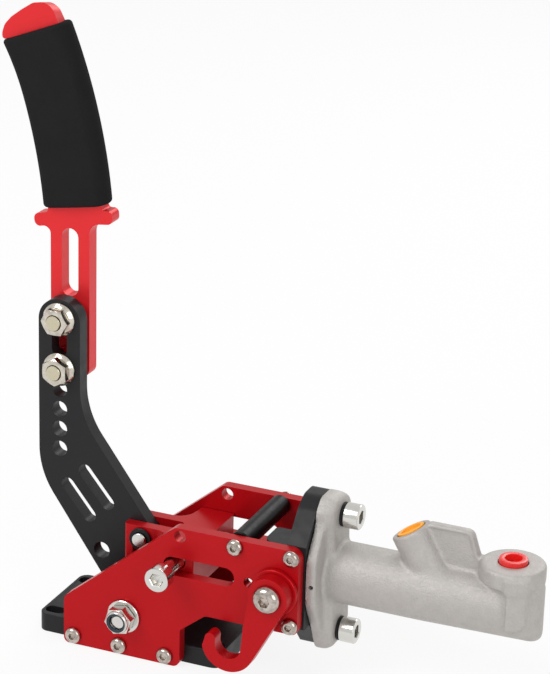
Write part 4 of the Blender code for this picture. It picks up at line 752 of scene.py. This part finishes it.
def skinned(field, low, high, step):
    """A closed quad mesh on the field's zero surface."""
    axes = [np.arange(low[i], high[i] + step, step) for i in range(3)]
    value = field(axes[0][:, None, None], axes[1][None, :, None], axes[2][None, None, :])
    value = np.broadcast_to(value, tuple(len(a) for a in axes))
    n = [len(a) - 1 for a in axes]
    inside = value < 0
    corners = [(i, j, k) for i in (0, 1) for j in (0, 1) for k in (0, 1)]
    count = sum(inside[i:i + n[0], j:j + n[1], k:k + n[2]].astype(np.int8) for i, j, k in corners)
    active = (count > 0) & (count < 8)
    cells = np.argwhere(active)
    index = np.full(active.shape, -1, np.int64)
    index[active] = np.arange(len(cells))
    total = np.zeros((len(cells), 3))
    hits = np.zeros(len(cells))
    for a in corners:
        for axis in range(3):
            if a[axis]:
                continue
            b = tuple(a[i] + (i == axis) for i in range(3))
            va = value[cells[:, 0] + a[0], cells[:, 1] + a[1], cells[:, 2] + a[2]]
            vb = value[cells[:, 0] + b[0], cells[:, 1] + b[1], cells[:, 2] + b[2]]
            cross = (va < 0) != (vb < 0)
            t = np.where(cross, va / np.where(cross, va - vb, 1), 0)
            spot = np.tile(np.array(a, float), (len(cells), 1))
            spot[:, axis] += t
            total += spot * cross[:, None]
            hits += cross
    points = (cells + total / hits[:, None]) * step + np.array([a[0] for a in axes])
    faces = []
    for axis in range(3):
        u, v = (axis + 1) % 3, (axis + 2) % 3
        first = [slice(1, n[i]) for i in range(3)]
        first[axis] = slice(0, n[axis])
        painted_reflection = list(first)
        painted_reflection[axis] = slice(1, n[axis] + 1)
        one, two = inside[tuple(first)], inside[tuple(painted_reflection)]
        spots = np.argwhere(one != two)
        flip = one[one != two]
        spots += np.array([0 if i == axis else 1 for i in range(3)])
        ring = []
        for du, dv in ((0, 0), (1, 0), (1, 1), (0, 1)):
            cell = spots.copy()
            cell[:, u] -= du
            cell[:, v] -= dv
            ring.append(index[cell[:, 0], cell[:, 1], cell[:, 2]])
        quad = np.stack(ring, axis=1)
        quad[~flip] = quad[~flip][:, ::-1]
        faces.append(quad)
    nudge = 0.05
    for _ in range(4):
        at = [points[:, i] for i in range(3)]
        here = field(*at)
        slopes = []
        for i in range(3):
            beside = [at[j] + (nudge if j == i else 0) for j in range(3)]
            slopes.append((field(*beside) - here) / nudge)
        slope = np.stack(slopes, axis=1)
        size = np.maximum((slope ** 2).sum(axis=1), 0.2)
        move = slope * (here / size)[:, None]
        length = np.maximum(np.linalg.norm(move, axis=1), 1e-9)
        points = points - move * np.minimum(1, 0.5 * step / length)[:, None]
    return points, np.concatenate(faces)


def cylinder():
    points, faces = skinned(casting, (95.0, -28.0, 13.0), (213.0, 28.0, 100.2), 0.8)
    mesh = bpy.data.meshes.new("casting")
    mesh.from_pydata(points.tolist(), [], faces.tolist())
    mesh.update()
    made = shown("casting", mesh)
    drills = [drill("bore", 94, 199, 8, Vector((0, 0, PULL)), EAST, 64)]
    for side in (1, -1):
        drills.append(drill("hole", 94, 108, HOLE, Vector((0, 0, PULL + side * BOLT_RISE)), EAST, 40))
    drills.append(drill("hole", -4, 1, 1.2, Vector((99.1, -INSERT, PULL + 0.6)), NEAR, 24))
    solid(made, join("drills", *drills))
    inlet, outlet, tilt = Vector((INLET_X, 0, PULL)), Vector((OUTLET_X, 0, PULL)), Vector((LEAN_X, 0, LEAN_Z))
    ports = [turned("port", [(4, 1.5), (28.9, 1.5), (28.9, 7.5), (34.6, 7.5), (36, 8.6)], inlet, tilt, 56),
             turned("port", [(4, 1.5), (17.7, 1.5), (17.7, 7.5), (23.6, 7.5), (25, 8.4)], outlet, UP, 56)]
    solid(made, join("ports", *ports))
    # Painted shade: a dark ring round each flange bolt's seat, under the head, stands in for the shadowed gap between
    # the head and the flange.
    shade_rings = []
    for side in (1, -1):
        profile = [(-3.5, HOLE + 0.2), (-3.5, 6.25), (-0.15, 6.25), (0, 6.1), (0, HOLE + 0.2)]
        seat = turned("seat", profile, Vector((FLANGE1, 0, PULL + side * BOLT_RISE)), EAST, 64, True)
        for face in seat.data.polygons:
            face.material_index = 1
        shade_rings.append(seat)
    made = join("casting", made, *shade_rings)
    place(made, "frame", CAST, "cast_aluminium", "cylinder_body", edge=BLACK_OXIDE_AND_PAINTED_SHADE, smooth=50)
    for name, rise in (("upper", BOLT_RISE), ("lower", -BOLT_RISE)):
        bolt = cap_screw(f"flange_screw_{name}", Vector((FLANGE1 + GAP, 0, PULL + rise)), EAST, 20.3)
        place(bolt, "frame", STEEL, "zinc_steel", f"cylinder_bolt_{name}")
    profile = [(-6, 6.6), (-5.4, 7.2), (0.2, 7.2), (0.5, 7.0), (0.6, 6.6), (0.6, 5.7), (0.3, 5.3), (-0.7, 5.1),
               (-0.8, 4.6)]
    cap = turned("inlet_cap", profile, inlet + tilt * INLET_END, tilt, 56)
    place(cap, "frame", ORANGE, "orange_plastic", "inlet_plug")
    profile = [(-6, 6.6), (-5.4, 7.2), (1.7, 7.2), (2.2, 6.95), (2.4, 6.4), (2.4, 5.0), (2.1, 4.4), (-1.6, 3.9),
               (-2.0, 3.4)]
    cap = turned("outlet_cap", profile, Vector((OUTLET_X, 0, 80)), UP, 56)
    place(cap, "frame", PLUG_RED, "red_plastic", "outlet_plug")


def spring():
    """Coil in the bore, built at one fixed length."""
    start, end = 154.6, 198.0
    turns, radius, wire, facets = 7, 5.7, 0.7, 24
    rings = []
    for n in range(turns * facets + 1):
        a = 2 * math.pi * n / facets
        x = start + (end - start) * n / (turns * facets)
        off = [(radius + wire * c, x + wire * s) for c, s in circle((0, 0), 1.0)[::4]]
        rings.append([(w, r * math.cos(a), PULL + r * math.sin(a)) for r, w in off])
    made = place(skin("spring_coil", rings), "frame", DULL, "spring_steel", "return_spring", smooth=60)
    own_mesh(made)


def keep(name, finish):
    """Dresses a CAD node that stays as it is."""
    made = nodes[name]
    made.data.materials.clear()
    made.data.materials.append(finish)


def seen_rays(tree):
    """1 for the rays that show the background: from the camera, in a reflection or through glass."""
    path = tree.nodes.new("ShaderNodeLightPath")
    found = path.outputs["Is Camera Ray"]
    for name in ("Is Glossy Ray", "Is Transmission Ray"):
        either = tree.nodes.new("ShaderNodeMath")
        either.operation = "MAXIMUM"
        tree.links.new(found, either.inputs[0])
        tree.links.new(path.outputs[name], either.inputs[1])
        found = either.outputs[0]
    return found


def studio():
    bm = bmesh.new()
    bmesh.ops.create_grid(bm, x_segments=8, y_segments=8, size=6.0)
    floor = link("floor", bm)
    floor.location = (0, 0, -0.0002)
    made = bpy.data.materials.new("floor")
    made.use_nodes = True
    tree = made.node_tree
    tree.nodes.remove(tree.nodes["Principled BSDF"])
    diffuse = tree.nodes.new("ShaderNodeBsdfDiffuse")
    diffuse.inputs["Color"].default_value = (0.86, 0.86, 0.86, 1)
    glow = tree.nodes.new("ShaderNodeEmission")
    share = tree.nodes.new("ShaderNodeMath")
    share.operation = "MULTIPLY"
    share.inputs[1].default_value = 0.85
    mix = tree.nodes.new("ShaderNodeMixShader")
    tree.links.new(seen_rays(tree), share.inputs[0])
    tree.links.new(share.outputs[0], mix.inputs["Fac"])
    tree.links.new(diffuse.outputs[0], mix.inputs[1])
    tree.links.new(glow.outputs[0], mix.inputs[2])
    tree.links.new(mix.outputs[0], tree.nodes["Material Output"].inputs["Surface"])
    floor.data.materials.append(made)

    world = bpy.data.worlds.new("studio")
    bpy.context.scene.world = world
    world.use_nodes = True
    tree = world.node_tree
    soft = tree.nodes["Background"]
    soft.inputs["Color"].default_value = (1, 1, 1, 1)
    soft.inputs["Strength"].default_value = 0.62
    white = tree.nodes.new("ShaderNodeBackground")
    white.inputs["Strength"].default_value = 1.0
    mix = tree.nodes.new("ShaderNodeMixShader")
    tree.links.new(seen_rays(tree), mix.inputs["Fac"])
    tree.links.new(soft.outputs[0], mix.inputs[1])
    tree.links.new(white.outputs[0], mix.inputs[2])
    tree.links.new(mix.outputs[0], tree.nodes["World Output"].inputs["Surface"])

    def lamp(name, at, size, power, aim=(0.05, 0, 0.12)):
        light = bpy.data.lights.new(name, "AREA")
        light.shape = "SQUARE"
        light.size = size
        light.energy = power
        made = bpy.data.objects.new(name, light)
        made.location = at
        made.rotation_euler = (Vector(aim) - Vector(at)).to_track_quat("-Z", "Y").to_euler()
        bpy.context.scene.collection.objects.link(made)

    lamp("key", (-0.7, -1.0, 1.3), 0.9, 14)
    lamp("fill", (1.3, -0.9, 0.7), 1.0, 6)
    lamp("rim", (0.2, 1.2, 1.0), 0.8, 6)

    axes = Matrix(((0.91902, -0.16079, 0.35995), (0.39338, 0.31427, -0.86400), (0.02581, 0.93563, 0.35207)))
    camera = bpy.data.cameras.new("camera")
    camera.lens = 141.0
    camera.sensor_width = 36
    camera.clip_start = 0.05
    made = bpy.data.objects.new("camera", camera)
    made.matrix_world = Matrix.Translation((0.5323, -1.1201, 0.6312)) @ axes.to_4x4()
    bpy.context.scene.collection.objects.link(made)
    bpy.context.scene.camera = made
    bpy.context.scene.view_settings.view_transform = "Standard"


studio()
side_plates()
base()
cross_bar()
bracket()
plate_screws()
pivot()
arm()
clevis()
blade()
grip()
clamp_bolts()
slider()
hook()
cylinder()
spring()
for name, finish in (("nylon_ring", NYLON), ("pivot_spacer_near", STEEL), ("pivot_spacer_far", STEEL),
                     ("lever_bush", BRONZE), ("snap_ring", BLACK_OXIDE_AND_PAINTED_SHADE), ("stop_washer", STEEL), ("piston", MACHINED),
                     ("primary_cup", SEAL), ("secondary_cup", SEAL)):
    keep(name, finish)
